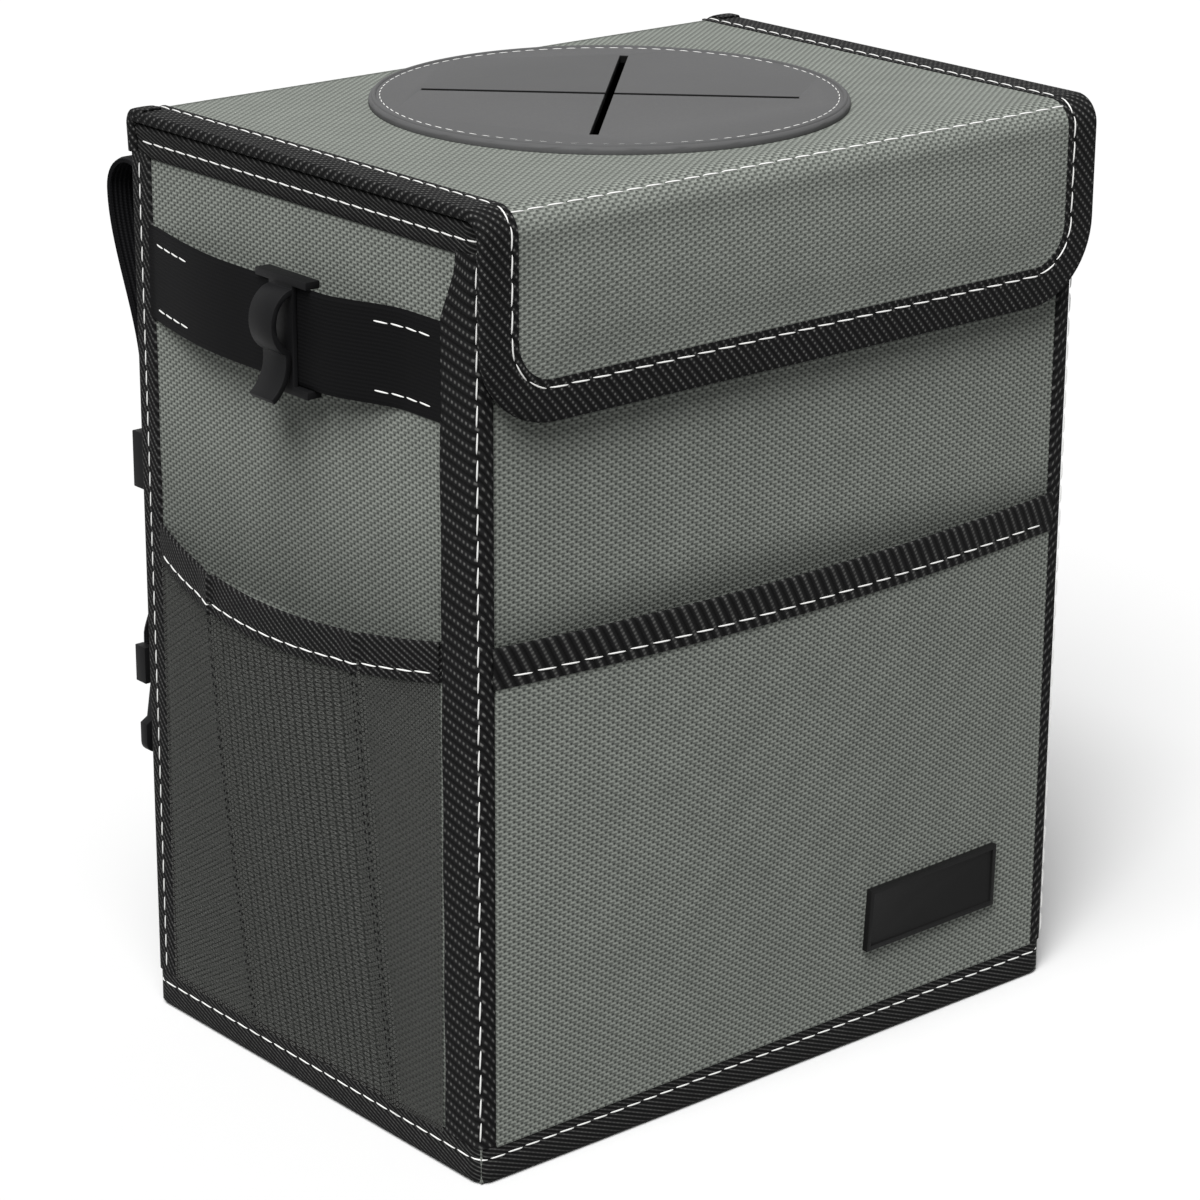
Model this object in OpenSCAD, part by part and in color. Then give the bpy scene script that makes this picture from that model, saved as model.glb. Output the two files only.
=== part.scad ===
// Car trash bin: a stiffened fabric box with a leakproof lining, a hinged lid with
// a slit rubber cover, a front flap, three outer pockets and a headrest strap.
// The front looks along -Y, the floor is at z = 0.

/* [Box] */
// Width of the box across its side panels
body_w = 232; // [180:1:320]
// Depth of the box across its front and back panels
body_d = 163; // [130:1:240]
// Height of the mouth above the floor
rim_h = 286.5; // [240:0.5:360]
// Thickness of the outer fabric
fabric_t = 1; // [0.8:0.1:1.4]
// Thickness of the stiffening boards in the walls
board_t = 2; // [1.5:0.1:3]
// Thickness of the leakproof lining
lining_t = 0.6; // [0.4:0.1:1]

/* [Bindings] */
// Thickness of the binding tape on the corners
tape_t = 0.8; // [0.5:0.1:1.2]
// Width of the tape on the side face of a front corner
front_corner_side_w = 16; // [10:0.5:22]
// Width of the tape on the side face of a rear corner
rear_corner_side_w = 9.5; // [6:0.5:16]
// Width of the tape on the front face
front_corner_face_w = 5; // [4:0.5:8]
// Width of the tape on the back face
rear_corner_face_w = 3.5; // [2.5:0.5:6]
// Width that the front corner tape narrows to at the rim
corner_top_w = 8.5; // [6:0.5:10]
// Height over which the front corner tape narrows
corner_taper_h = 20; // [10:1:24]
// Height of the binding round the floor
hem_h = 12.2; // [8:0.1:20]
// Thickness of the binding round the floor
hem_t = 1.4; // [1:0.1:2]
// Corner radius of the floor binding
hem_r = 3.5; // [2:0.1:4]
// Height of the binding round the mouth
rim_band_h = 10; // [7:0.5:16]
// How far the mouth binding flares out at its top
rim_flare = 1.2; // [0.5:0.1:2]

/* [Lid] */
// Thickness of the fabric of the lid and flap
lid_fabric_t = 0.8; // [0.6:0.1:1.2]
// Thickness of the board of the lid and flap
lid_board_t = 1.4; // [1:0.1:2.4]
// Thickness of the lining of the lid and flap
lid_lining_t = 0.4; // [0.3:0.1:0.8]
// Thickness of the tape folded round the edges of the lid
lid_tape_t = 0.5; // [0.4:0.1:0.8]
// How far the lid overhangs the box at each side
lid_overhang = 2.4; // [2.2:0.1:5]
// Width of the tape that shows on the lid
lid_tape_w = 12.2; // [8:0.1:18]
// Gap between the lid and the mouth it rests on
rest_gap = 0.4; // [0.2:0.1:1]
// Outer radius of the crease between lid and flap
crease_r = 8; // [7:0.5:8.5]
// Outer radius of the fold between lid and back
fold_r = 5; // [4:0.5:7]
// Space between the front panel and the flap
flap_gap = 3.5; // [3:0.1:6]
// Length of the flap below the top of the lid
flap_l = 61.5; // [50:0.5:100]
// Radius of the lower corners of the flap
flap_corner_r = 24.5; // [16:0.5:40]
// Gap cut in the fabric at each fold
fold_gap = 0.3; // [0.2:0.05:0.6]

/* [Slit cover] */
// Radius of the rubber disc
disc_r = 72; // [50:1:76]
// Thickness of the rubber disc
disc_t = 2.5; // [1.5:0.1:4]
// Radius of the hole in the lid below the disc
hole_r = 62; // [40:1:65]
// Length of each slit
slit_l = 113; // [70:1:120]
// Width of each slit
slit_w = 2.5; // [1:0.1:4]

/* [Fastener strips] */
// Length of the touch fastener strips
strip_l = 100; // [60:1:160]
// Width of the touch fastener strips
strip_w = 20; // [10:1:25]
// Gap between the two strips when closed
strip_gap = 0.3; // [0.2:0.1:0.6]
// Height of the strips above the lower edge of the flap
strip_lift = 14; // [12:0.5:24]

/* [Front pocket] */
// Height of the pocket mouth above the floor
pocket_h = 164.5; // [120:0.5:200]
// Thickness of the pocket fabric
pocket_t = 0.8; // [0.6:0.1:1.2]
// How far the pocket mouth stands off the box
pocket_bow = 8; // [4:0.5:16]
// How far the pocket bellies out below its mouth
pocket_belly = 1.5; // [0:0.5:5]
// Height of the tape on the pocket mouth
pocket_tape_h = 12; // [8:0.5:18]
// Thickness of the tape on the pocket mouths
pocket_tape_t = 0.6; // [0.5:0.1:1]

/* [Mesh pockets] */
// Height of the mesh pocket mouth at its ends
mesh_h = 163; // [120:0.5:200]
// Thickness of the net
mesh_t = 0.8; // [0.6:0.1:1.2]
// How far the mouth of the mesh pocket stands off the box
mesh_bow = 11; // [5:0.5:18]
// How far the net bellies out below its mouth
mesh_belly = 2; // [0:0.5:5]
// How far the mouth of the mesh pocket sags in its middle
mesh_sag = 5; // [0:0.5:10]
// Width of the cloth lapped in each pleat
pleat_w = 8; // [5:0.5:12]
// Height of the step at each pleat
pleat_step = 1.4; // [0.8:0.1:2.5]
// Distance of the rear pleat from the middle of the side, at the mouth
pleat_rear_y = 32; // [20:1:45]
// Distance of the front pleat from the middle of the side, at the mouth
pleat_front_y = 38; // [20:1:45]
// How far each pleat leans towards the front on its way down
pleat_lean = 7.5; // [0:0.5:12]

/* [Side bands and hooks] */
// How far the band's upper edge lies below the mouth
elastic_drop = 30; // [26:0.5:60]
// Width of the elastic band
elastic_w = 29; // [20:0.5:40]
// Thickness of the elastic band
elastic_t = 1.2; // [0.8:0.1:2]
// How far the middle of the band stands off the box
elastic_off = 8; // [6:0.5:14]
// Length of the band's end sewn down at the front
elastic_front_l = 24; // [16:1:30]
// Length of the band's end sewn down at the rear
elastic_rear_l = 20; // [14:1:26]
// Length of the slope behind the front end
elastic_front_slope_l = 20; // [12:1:24]
// Length of the slope ahead of the rear end
elastic_rear_slope_l = 30; // [12:1:34]
// Place of the hook along the band
hook_y = -7; // [-10:0.5:10]
// Width of the hook's rails above and below the band
hook_rail_w = 24; // [16:0.5:28]
// Height of each rail
hook_rail_h = 2.2; // [1.6:0.1:3]
// Width of the hook's plates and arm
hook_arm_w = 11; // [8:0.5:16]
// Thickness of the hook's plates
hook_t = 1.6; // [1.4:0.1:2]
// Thickness of the hook's arm
hook_arm_t = 1.8; // [1.6:0.1:2.4]
// How far the arm stands off the band
hook_reach = 9.2; // [8:0.2:14]
// Width of the mouth between the arm's waist and the front plate
hook_mouth = 0.7; // [0.5:0.1:1.2]
// Height of the arm's waist above the band's lower edge
hook_waist = 10; // [7:0.5:14]
// Radius of the arm's flared end
hook_flare_r = 13.5; // [10:0.5:18]
// Clearance between the hook and the band
hook_gap = 0.3; // [0.2:0.05:0.5]

/* [Patch] */
// Width of the rubber patch
patch_w = 56.5; // [30:0.5:80]
// Height of the rubber patch
patch_h = 21; // [14:0.5:32]
// Thickness of the rubber patch
patch_t = 2; // [1.2:0.1:3]
// Width of the patch's raised border
patch_border = 1.5; // [1:0.1:3]
// How far the border stands above the middle of the patch
patch_relief = 0.6; // [0.3:0.1:1]
// Clearance between the patch and the pocket
patch_seat = 0.1; // [0.05:0.05:0.3]
// Place of the patch's middle across the front
patch_x = 62; // [0:1:70]
// Height of the patch's middle
patch_z = 42.5; // [30:0.5:70]

/* [Strap] */
// Width of the webbing
strap_w = 25; // [20:1:38]
// Thickness of the webbing
strap_t = 1.4; // [1:0.1:2]
// How far below the mouth the webbing leaves the back of the box
strap_drop = 24.5; // [18:0.5:46]
// Radius of the bend at the top of the webbing
strap_bend_r = 9; // [7:0.5:14]
// Height over which the webbing slants back to the box
strap_slant_h = 56; // [45:1:72]
// Distance of the buckle's webbing bar below the slider
buckle_drop = 64; // [46:1:80]
// Distance of the hanging webbing from the back of the box
strap_off = 3.2; // [3:0.1:6]
// Clearance between the webbing and the plastic on it
strap_gap = 0.3; // [0.2:0.05:0.6]
// Size of the sewn anchor patches
anchor_h = 12; // [8:0.5:20]
// Diameter of the buckle's webbing bar
bar_d = 4; // [3:0.5:6]
// Wall thickness of the buckle
buckle_t = 2; // [1.6:0.1:3]
// Length of the buckle's socket
socket_l = 26; // [20:1:36]
// Distance of the slider below the webbing's slant
slider_drop = 26; // [18:1:36]
// Height of the slider's frame
slider_h = 18; // [14:0.5:24]

/* [Hidden] */

cloth = "#6e746c";
tape = "#1f1f20";
rubber = "#6f6f6f";
black = "#141415";
board = "#8a7f6c";
liner = "#2b2c2e";
net = "#3a3a38";
webbing = "#111112";

hw = body_w / 2;
hd = body_d / 2;
wall_t = fabric_t + board_t + lining_t;
floor_board_z = fabric_t;
floor_top = floor_board_z + board_t;               // top of the bottom board
wall_top = rim_h - tape_t;                         // top of the walls under the mouth tape
corner_top_z = rim_h - rim_band_h;                 // lower edge of the mouth tape

lid_t = lid_fabric_t + lid_board_t + lid_lining_t;
lid_low = rim_h + rest_gap + lid_tape_t;           // underside of the lid's lining
lid_top = lid_low + lid_t;
lid_hw = hw + lid_overhang;
flap_y = -hd - flap_gap - lid_t;                   // outer face of the flap
crease = [flap_y + crease_r, lid_top - crease_r];  // centre of the crease, in y and z
fold = [hd - fold_r, lid_top - fold_r];            // centre of the rear fold, in y and z
flap_low = lid_top - flap_l;
strip_t = (flap_gap - strip_gap) / 2;
strip_z = flap_low + strip_lift;

mesh_front = -hd + front_corner_side_w;
mesh_rear = hd - rear_corner_side_w;
band_in = hw + elastic_off;                        // inner face of the band's middle
band_out = band_in + elastic_t;
band_top = rim_h - elastic_drop;
elastic_z = band_top - elastic_w;                  // lower edge of the band

strap_top_z = rim_h - strap_drop;                  // where the webbing leaves the back
strap_back_z = strap_top_z - strap_slant_h;        // where it gets back to the box
slider_z = strap_back_z - slider_drop;
buckle_bar_z = slider_z - buckle_drop;

strap_x = hw - rear_corner_face_w - strap_w / 2 - 0.2;
strap_in = hd + strap_off;                         // inner face of the hanging webbing
strap_mid = strap_in + strap_t / 2;
bar_y = strap_mid + strap_t / 2 + strap_gap + bar_d / 2;
bar_loop_r = (bar_d + strap_t) / 2 + strap_gap;
frame_hw = strap_w / 2 + strap_gap;                // inside half width of a webbing frame
frame_rail = 3;                                    // width of a webbing frame's side rails

// Points on an arc round c, from angle a0 to a1 in n steps.
function arc(c, r, a0, a1, n) = [
    for (i = [0:n]) let (a = a0 + (a1 - a0) * i / n) [c[0] + r * cos(a), c[1] + r * sin(a)]
];
function flip(v) = [for (i = [len(v) - 1:-1:0]) v[i]];
function smooth(s) = let (c = min(1, max(0, s))) c * c * (3 - 2 * c);
function mix(a, b, s) = a + (b - a) * s;
// Angle that takes half the fold gap at radius r.
function half_gap(r) = asin(fold_gap / 2 / r);

// Outline of a band of thickness t whose middle follows the points p.
function side_of(p, i, d) = let (
    a = p[max(0, i - 1)],
    b = p[min(len(p) - 1, i + 1)],
    v = (b - a) / norm(b - a)
) [p[i][0] - v[1] * d, p[i][1] + v[0] * d];
function ribbon(p, t) = concat(
    [for (i = [0:len(p) - 1]) side_of(p, i, t / 2)],
    [for (i = [len(p) - 1:-1:0]) side_of(p, i, -t / 2)]
);

// Closed outline between half widths w and heights h, with round corners of radius r.
function round_rect(w, d, r) = concat(
    arc([w - r, d - r], r, 0, 90, 6), arc([r - w, d - r], r, 90, 180, 6),
    arc([r - w, r - d], r, 180, 270, 6), arc([w - r, r - d], r, 270, 360, 6)
);

// Extrudes an outline in y and z along x.
module along_x(x0, x1) {
    translate([x0, 0, 0]) rotate([90, 0, 90]) linear_extrude(x1 - x0) children();
}

// Extrudes an outline in x and z along y.
module along_y(y0, y1) {
    translate([0, y1, 0]) rotate([90, 0, 0]) linear_extrude(y1 - y0) children();
}

// A block between two opposite corners.
module block(a, b) {
    translate(a) cube(b - a);
}

// A sheet of nu by nv cells. f(u, v, k) gives its inner (k = 0) and outer (k = 1) points.
module sheet(f, nu, nv) {
    function id(k, j, i) = (k * (nv + 1) + j) * (nu + 1) + i;
    function tri(a, b, c, d) = [[a, b, c], [a, c, d]];
    points = [for (k = [0, 1]) for (j = [0:nv]) for (i = [0:nu]) f(i / nu, j / nv, k)];
    faces = concat(
        [for (j = [0:nv - 1]) for (i = [0:nu - 1])
            each tri(id(1, j, i), id(1, j + 1, i), id(1, j + 1, i + 1), id(1, j, i + 1))],
        [for (j = [0:nv - 1]) for (i = [0:nu - 1])
            each tri(id(0, j, i), id(0, j, i + 1), id(0, j + 1, i + 1), id(0, j + 1, i))],
        [for (i = [0:nu - 1])
            each tri(id(1, 0, i), id(1, 0, i + 1), id(0, 0, i + 1), id(0, 0, i))],
        [for (i = [0:nu - 1])
            each tri(id(1, nv, i + 1), id(1, nv, i), id(0, nv, i), id(0, nv, i + 1))],
        [for (j = [0:nv - 1])
            each tri(id(1, j + 1, 0), id(1, j, 0), id(0, j, 0), id(0, j + 1, 0))],
        [for (j = [0:nv - 1])
            each tri(id(1, j, nu), id(1, j + 1, nu), id(0, j + 1, nu), id(0, j, nu))]
    );
    polyhedron(points, faces, convexity = 6);
}

// Tape folded over an edge, in nu lengths. f(u, d, z) gives the point at u along it, d off the
// inner face of cloth of thickness t and height z. Its legs hang from top down to low, and
// their cells are cut as the cloth's are.
module folded_tape(f, nu, t, low, top) {
    a = pocket_tape_t;
    profile = [
        [t + a, low], [t + a, top], [-a, top], [-a, low],
        [0, low], [0, top - a], [t, top - a], [t, low],
    ];
    n = len(profile);
    function id(i, j) = i * n + j % n;
    points = [for (i = [0:nu]) for (p = profile) f(i / nu, p[0], p[1])];
    faces = concat(
        [for (i = [0:nu - 1]) for (j = [0:n - 1]) each profile[(j + 1) % n][1] < profile[j][1] ? [
            [id(i, j), id(i, j + 1), id(i + 1, j)],
            [id(i, j + 1), id(i + 1, j + 1), id(i + 1, j)],
        ] : [
            [id(i, j), id(i, j + 1), id(i + 1, j + 1)],
            [id(i, j), id(i + 1, j + 1), id(i + 1, j)],
        ]],
        [[for (j = [n - 1:-1:0]) id(0, j)]],
        [[for (j = [0:n - 1]) id(nu, j)]]
    );
    polyhedron(points, faces, convexity = 6);
}

module on_left() {
    mirror([1, 0, 0]) children();
}

// Walls

module front_panel() {
    color(cloth) block([-hw, -hd, 0], [hw, fabric_t - hd, wall_top]);
}

// The back fabric runs up into its half of the fold that carries the lid.
module back_panel() {
    turn = half_gap(fold_r);
    color(cloth) along_x(-hw, hw) polygon(concat(
        [[hd, 0]],
        arc(fold, fold_r, 0, 45 - turn, 6),
        arc(fold, fold_r - fabric_t, 45 - turn, 0, 6),
        [[hd - fabric_t, 0]]
    ));
}

module side_panel() {
    color(cloth)
        block([hw - fabric_t, fabric_t - hd, 0], [hw, hd - fabric_t, wall_top]);
}

module left_panel() {
    on_left() side_panel();
}

module right_panel() {
    side_panel();
}

module bottom_panel() {
    color(cloth) block(
        [fabric_t - hw, fabric_t - hd, 0],
        [hw - fabric_t, hd - fabric_t, floor_board_z]
    );
}

module front_board() {
    color(board) block(
        [fabric_t - hw, fabric_t - hd, floor_top],
        [hw - fabric_t, fabric_t + board_t - hd, wall_top]
    );
}

module back_board() {
    color(board) block(
        [fabric_t - hw, hd - fabric_t - board_t, floor_top],
        [hw - fabric_t, hd - fabric_t, fold[1]]
    );
}

module side_board() {
    color(board) block(
        [hw - fabric_t - board_t, fabric_t + board_t - hd, floor_top],
        [hw - fabric_t, hd - fabric_t - board_t, wall_top]
    );
}

module left_board() {
    on_left() side_board();
}

module right_board() {
    side_board();
}

module bottom_board() {
    color(board) block(
        [fabric_t - hw, fabric_t - hd, floor_board_z],
        [hw - fabric_t, hd - fabric_t, floor_top]
    );
}

// The lining is a box of its own, open at the top and lower at the rear fold.
module inner_lining() {
    w = hw - fabric_t - board_t;
    d = hd - fabric_t - board_t;
    color(liner) difference() {
        block([-w, -d, floor_top], [w, d, wall_top]);
        block(
            [lining_t - w, lining_t - d, floor_top + lining_t],
            [w - lining_t, d - lining_t, wall_top + 1]
        );
        block([-w - 1, d - lining_t, fold[1]], [w + 1, d + 1, wall_top + 1]);
    }
}

// Bindings

// Tape folded over the mouth at the sides and the front, flaring out to meet the lid.
module rim_binding() {
    low = hw + tape_t;
    high = low + rim_flare;
    inner = [hw - wall_t - tape_t, hd - wall_t - tape_t];
    r = crease_r - lid_t - lid_tape_t - rest_gap;
    color(tape) intersection() {
        difference() {
            along_y(-hd - tape_t, hd - wall_t) polygon([
                [-low, corner_top_z], [low, corner_top_z], [high, rim_h], [-high, rim_h],
            ]);
            block([-inner[0], -inner[1], corner_top_z - 1], [inner[0], hd, rim_h + 1]);
            difference() {
                block([-hw, -hd, corner_top_z - 1], [hw, hd, wall_top]);
                block([wall_t - hw, wall_t - hd, corner_top_z - 2], [hw - wall_t, hd + 1, rim_h]);
            }
        }
        along_x(-high - 1, high + 1) polygon(concat(
            [[hd, 0], [hd, rim_h]], arc(crease, r, 90, 180, 8), [[crease[0] - r, 0]]
        ));
    }
}

// Tape round the floor, flush with the underside that the bin stands on.
module bottom_binding() {
    color(tape) difference() {
        linear_extrude(hem_h) polygon(round_rect(hw + hem_t, hd + hem_t, hem_r));
        block([-hw, -hd, -1], [hw, hd, hem_h + 1]);
    }
}

// Tape round the right front corner, narrowing on the side face below the rim.
module front_corner() {
    narrow_z = corner_top_z - corner_taper_h;
    color(tape) union() {
        block([hw - front_corner_face_w, -hd - tape_t, hem_h], [hw, -hd, corner_top_z]);
        along_x(hw, hw + tape_t) polygon([
            [-hd - tape_t, hem_h], [front_corner_side_w - hd, hem_h],
            [front_corner_side_w - hd, narrow_z], [corner_top_w - hd, corner_top_z],
            [-hd - tape_t, corner_top_z],
        ]);
    }
}

// Tape round the right rear corner, up to the start of the rear fold.
module rear_corner() {
    color(tape) union() {
        block([hw - rear_corner_face_w, hd, hem_h], [hw, hd + tape_t, corner_top_z]);
        block(
            [hw, hd - rear_corner_side_w, hem_h], [hw + tape_t, hd + tape_t, corner_top_z]
        );
    }
}

module corner_binding_front_left() {
    on_left() front_corner();
}

module corner_binding_front_right() {
    front_corner();
}

module corner_binding_rear_left() {
    on_left() rear_corner();
}

module corner_binding_rear_right() {
    rear_corner();
}

// Front pocket

pocket_hw = hw - front_corner_face_w;
pocket_tape_z = pocket_h - pocket_tape_h;

function arch(u) = 1 - pow(2 * u - 1, 2);
// Distance of the pocket from the front panel at u across it and height z.
function pocket_depth(u, z) = let (s = max(0, z - hem_h) / (pocket_h - hem_h))
    pocket_tape_t + arch(u) * (pocket_bow * pow(s, 1.3) + pocket_belly * sin(180 * s));
// Height at v up a cloth of nv rows, whose last row is the part under its tape.
function row_z(v, nv, z0, tape_z, z1) =
    v > 1 - 0.5 / nv ? z1 : mix(z0, tape_z, v * nv / (nv - 1));
// Point at u across the pocket, d off its inner face and at height z.
function pocket_point(u, d, z) = [
    mix(-pocket_hw, pocket_hw, u), -hd - pocket_depth(u, z) - d, z
];

module front_pocket() {
    color(cloth) sheet(
        function (u, v, k) pocket_point(
            u, k * pocket_t, row_z(v, 12, hem_h, pocket_tape_z, pocket_h - pocket_tape_t)
        ),
        20, 12
    );
}

module front_pocket_binding() {
    color(tape) folded_tape(
        function (u, d, z) pocket_point(u, d, z), 20, pocket_t, pocket_tape_z, pocket_h
    );
}

// The patch follows the pocket. Its border stands above its bare middle.
module badge_patch() {
    function across(x) = (x + pocket_hw) / (2 * pocket_hw);
    x0 = patch_x - patch_w / 2;
    x1 = patch_x + patch_w / 2;
    z0 = patch_z - patch_h / 2;
    z1 = patch_z + patch_h / 2;
    b = patch_border;
    back = pocket_t + patch_seat;
    module plate(x0, x1, z0, z1, t) {
        sheet(
            function (u, v, k) pocket_point(
                mix(across(x0), across(x1), u), back + k * t, mix(z0, z1, v)
            ),
            6, 3
        );
    }
    color(black) union() {
        plate(x0 + b, x1 - b, z0 + b, z1 - b, patch_t - patch_relief);
        plate(x0, x0 + b, z0, z1, patch_t);
        plate(x1 - b, x1, z0, z1, patch_t);
        plate(x0 + b, x1 - b, z0, z0 + b, patch_t);
        plate(x0 + b, x1 - b, z1 - b, z1, patch_t);
    }
}

// Mesh pockets

// Where the net lies along the side at u across it and v up it. Two lines follow the pleats.
mesh_breaks = [0, 0.36, 0.38, 0.44, 0.62, 0.64, 0.7, 1];
function mesh_lines(v) = let (
    lean = pleat_lean * (1 - v),
    a = -pleat_front_y - lean,
    b = pleat_rear_y - lean
) [mesh_front, a, a + 0.8, a + 0.8 + pleat_w, b, b + 0.8, b + 0.8 + pleat_w, mesh_rear];
mesh_lap = [0, 0, 1, 0, 0, 1, 0, 0];
function pick(keys, values, u) = lookup(u, [for (i = [0:len(keys) - 1]) [keys[i], values[i]]]);
mesh_steps = [
    for (s = [0:7]) each (s == 7 ? [1] : [
        for (i = [0:2]) mix(mesh_breaks[s], mesh_breaks[s + 1], i / 3)
    ])
];

// Point at u across the right mesh pocket, d off its inner face. It sags below height z.
function mesh_point(u, d, z) = let (
    w = mesh_steps[round(u * (len(mesh_steps) - 1))],
    h = (z - hem_h) / (mesh_h - hem_h),
    y = pick(mesh_breaks, mesh_lines(h), w),
    across = arch((y - mesh_front) / (mesh_rear - mesh_front)),
    lap = pleat_step * pick(mesh_breaks, mesh_lap, w),
    bow = mesh_bow * pow(max(0, h), 1.2) + mesh_belly * sin(180 * h)
) [
    hw + pocket_tape_t + across * bow + lap + d,
    y,
    z - mesh_sag * across * pow(max(0, h), 3),
];

module mesh_pocket() {
    color(net) sheet(
        function (u, v, k) mesh_point(
            u, k * mesh_t,
            row_z(v, 10, hem_h, mesh_h - pocket_tape_h, mesh_h - pocket_tape_t)
        ),
        len(mesh_steps) - 1, 10
    );
}

module mesh_binding() {
    color(tape) folded_tape(
        function (u, d, z) mesh_point(u, d, z),
        len(mesh_steps) - 1, mesh_t, mesh_h - pocket_tape_h, mesh_h
    );
}

module left_mesh_pocket() {
    on_left() mesh_pocket();
}

module right_mesh_pocket() {
    mesh_pocket();
}

module left_mesh_binding() {
    on_left() mesh_binding();
}

module right_mesh_binding() {
    mesh_binding();
}

// Side bands and hooks

// The band lies on the box at both ends and stands off it in its straight middle.
module side_elastic() {
    steps = 8;
    rise = [for (i = [0:steps]) smooth(i / steps)];
    inner = concat(
        [[hw, mesh_front]],
        [for (i = [0:steps]) [
            hw + elastic_off * rise[i],
            mesh_front + elastic_front_l + elastic_front_slope_l * i / steps,
        ]],
        [for (i = [steps:-1:0]) [
            hw + elastic_off * rise[i],
            mesh_rear - elastic_rear_l - elastic_rear_slope_l * i / steps,
        ]],
        [[hw, mesh_rear]]
    );
    outer = [for (p = inner) [p[0] + elastic_t, p[1]]];
    color(webbing) translate([0, 0, elastic_z]) linear_extrude(elastic_w)
        polygon(concat(inner, flip(outer)));
}

module left_elastic() {
    on_left() side_elastic();
}

module right_elastic() {
    side_elastic();
}

// The band passes between the hook's two plates, which two rails join. The arm leaves the
// front plate, bows out, comes back to it at the waist and flares out again as an S.
module side_hook() {
    x0 = band_in - hook_gap - hook_t;
    x1 = band_out + hook_gap;
    x2 = x1 + hook_t;
    y0 = hook_y - hook_arm_w / 2;
    y1 = hook_y + hook_arm_w / 2;
    z0 = elastic_z - hook_gap;
    z1 = band_top + hook_gap;
    root_x = x2 - hook_arm_t / 2;
    waist_x = x2 + hook_mouth + hook_arm_t / 2;
    bow = band_out + hook_reach - hook_arm_t / 2 - root_x;
    turn = asin((waist_x - root_x) / bow);
    top = z1 - hook_arm_t;
    waist = elastic_z + hook_waist;
    high = (top - waist) / (1 + cos(turn));
    path = concat(
        [for (i = [0:15]) let (a = mix(90, turn - 90, i / 16)) [
            root_x + bow * cos(a), top - high + high * sin(a),
        ]],
        arc([waist_x + hook_flare_r, waist - hook_flare_r * sin(10)], hook_flare_r, 170, 234, 9)
    );
    color(black) union() {
        for (x = [x0, x1]) block([x, y0, z0], [x + hook_t, y1, z1]);
        for (z = [z0 - hook_rail_h, z1]) block(
            [x0, hook_y - hook_rail_w / 2, z], [x2, hook_y + hook_rail_w / 2, z + hook_rail_h]
        );
        along_y(y0, y1) polygon(ribbon(path, hook_arm_t));
    }
}

module left_hook() {
    on_left() side_hook();
}

module right_hook() {
    side_hook();
}

// Touch fastener

module body_loop_strip() {
    color(black) block(
        [-strip_l / 2, -hd - strip_t, strip_z], [strip_l / 2, -hd, strip_z + strip_w]
    );
}

module flap_hook_strip() {
    y = -hd - flap_gap;
    color(black) block([-strip_l / 2, y, strip_z], [strip_l / 2, y + strip_t, strip_z + strip_w]);
}

// Lid

// A layer of the lid between radius r and r - t of the crease, with its half of the crease.
function crease_layer(r, t, n) = let (turn = half_gap(crease_r)) concat(
    arc(crease, r, 90, 135 - turn, n), arc(crease, r - t, 135 - turn, 90, n)
);

module lid_panel() {
    turn = half_gap(fold_r);
    color(cloth) difference() {
        along_x(-lid_hw, lid_hw) polygon(concat(
            arc(fold, fold_r, 45 + turn, 90, 6),
            crease_layer(crease_r, lid_fabric_t, 6),
            arc(fold, fold_r - lid_fabric_t, 90, 45 + turn, 6)
        ));
        for (s = [0, 1]) mirror([s, 0, 0])
            block([hw, fold[0], lid_top - fold_r], [lid_hw + 1, hd + 1, lid_top + 1]);
        lid_hole();
    }
}

module lid_hole() {
    translate([0, 0, lid_low - 1]) cylinder(r = hole_r, h = lid_t + 2, $fn = 96);
}

module lid_board() {
    z = lid_low + lid_lining_t;
    color(board) difference() {
        block([-lid_hw, crease[0], z], [lid_hw, fold[0], z + lid_board_t]);
        lid_hole();
    }
}

module lid_lining() {
    color(liner) difference() {
        along_x(-lid_hw, lid_hw) polygon(concat(
            [[fold[0], lid_low + lid_lining_t]],
            crease_layer(crease_r - lid_fabric_t - lid_board_t, lid_lining_t, 6),
            [[fold[0], lid_low]]
        ));
        lid_hole();
    }
}

// Tape folded round the right edge of the lid and over its half of the crease.
module lid_binding() {
    turn = half_gap(crease_r);
    r = crease_r + lid_tape_t;
    module shell(x0, x1, r0, r1) {
        along_x(x0, x1) polygon(concat(
            [[fold[0], crease[1] + r1]],
            arc(crease, r1, 90, 135 - turn, 6),
            arc(crease, r0, 135 - turn, 90, 6),
            [[fold[0], crease[1] + r0]]
        ));
    }
    color(tape) difference() {
        shell(
            lid_hw + lid_tape_t - lid_tape_w, lid_hw + lid_tape_t,
            r - lid_t - 2 * lid_tape_t, r
        );
        shell(lid_hw - lid_tape_w, lid_hw, crease_r - lid_t, crease_r);
    }
}

module lid_binding_left() {
    on_left() lid_binding();
}

module lid_binding_right() {
    lid_binding();
}

// Rubber disc with a rounded rim and two crossed slits.
module slit_cover() {
    edge = disc_t / 2;
    color(rubber) translate([0, 0, lid_top]) difference() {
        rotate_extrude($fn = 96) polygon(concat(
            [[0, 0], [disc_r, 0]],
            arc([disc_r - edge, edge], edge, 0, 90, 5),
            [[0, disc_t]]
        ));
        for (a = [45, -45]) rotate([0, 0, a])
            block([-slit_l / 2, -slit_w / 2, -1], [slit_l / 2, slit_w / 2, disc_t + 1]);
    }
}

// Flap

// Outline of the flap in x and z, brought in by the given distance.
function flap_outline(inset, top) = let (
    w = lid_hw - inset,
    r = flap_corner_r - inset,
    z = flap_low + inset + lid_tape_t
) concat(
    [[w, top]],
    arc([w - r, z + r], r, 0, -90, 10), arc([r - w, z + r], r, -90, -180, 10),
    [[-w, top]]
);

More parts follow.
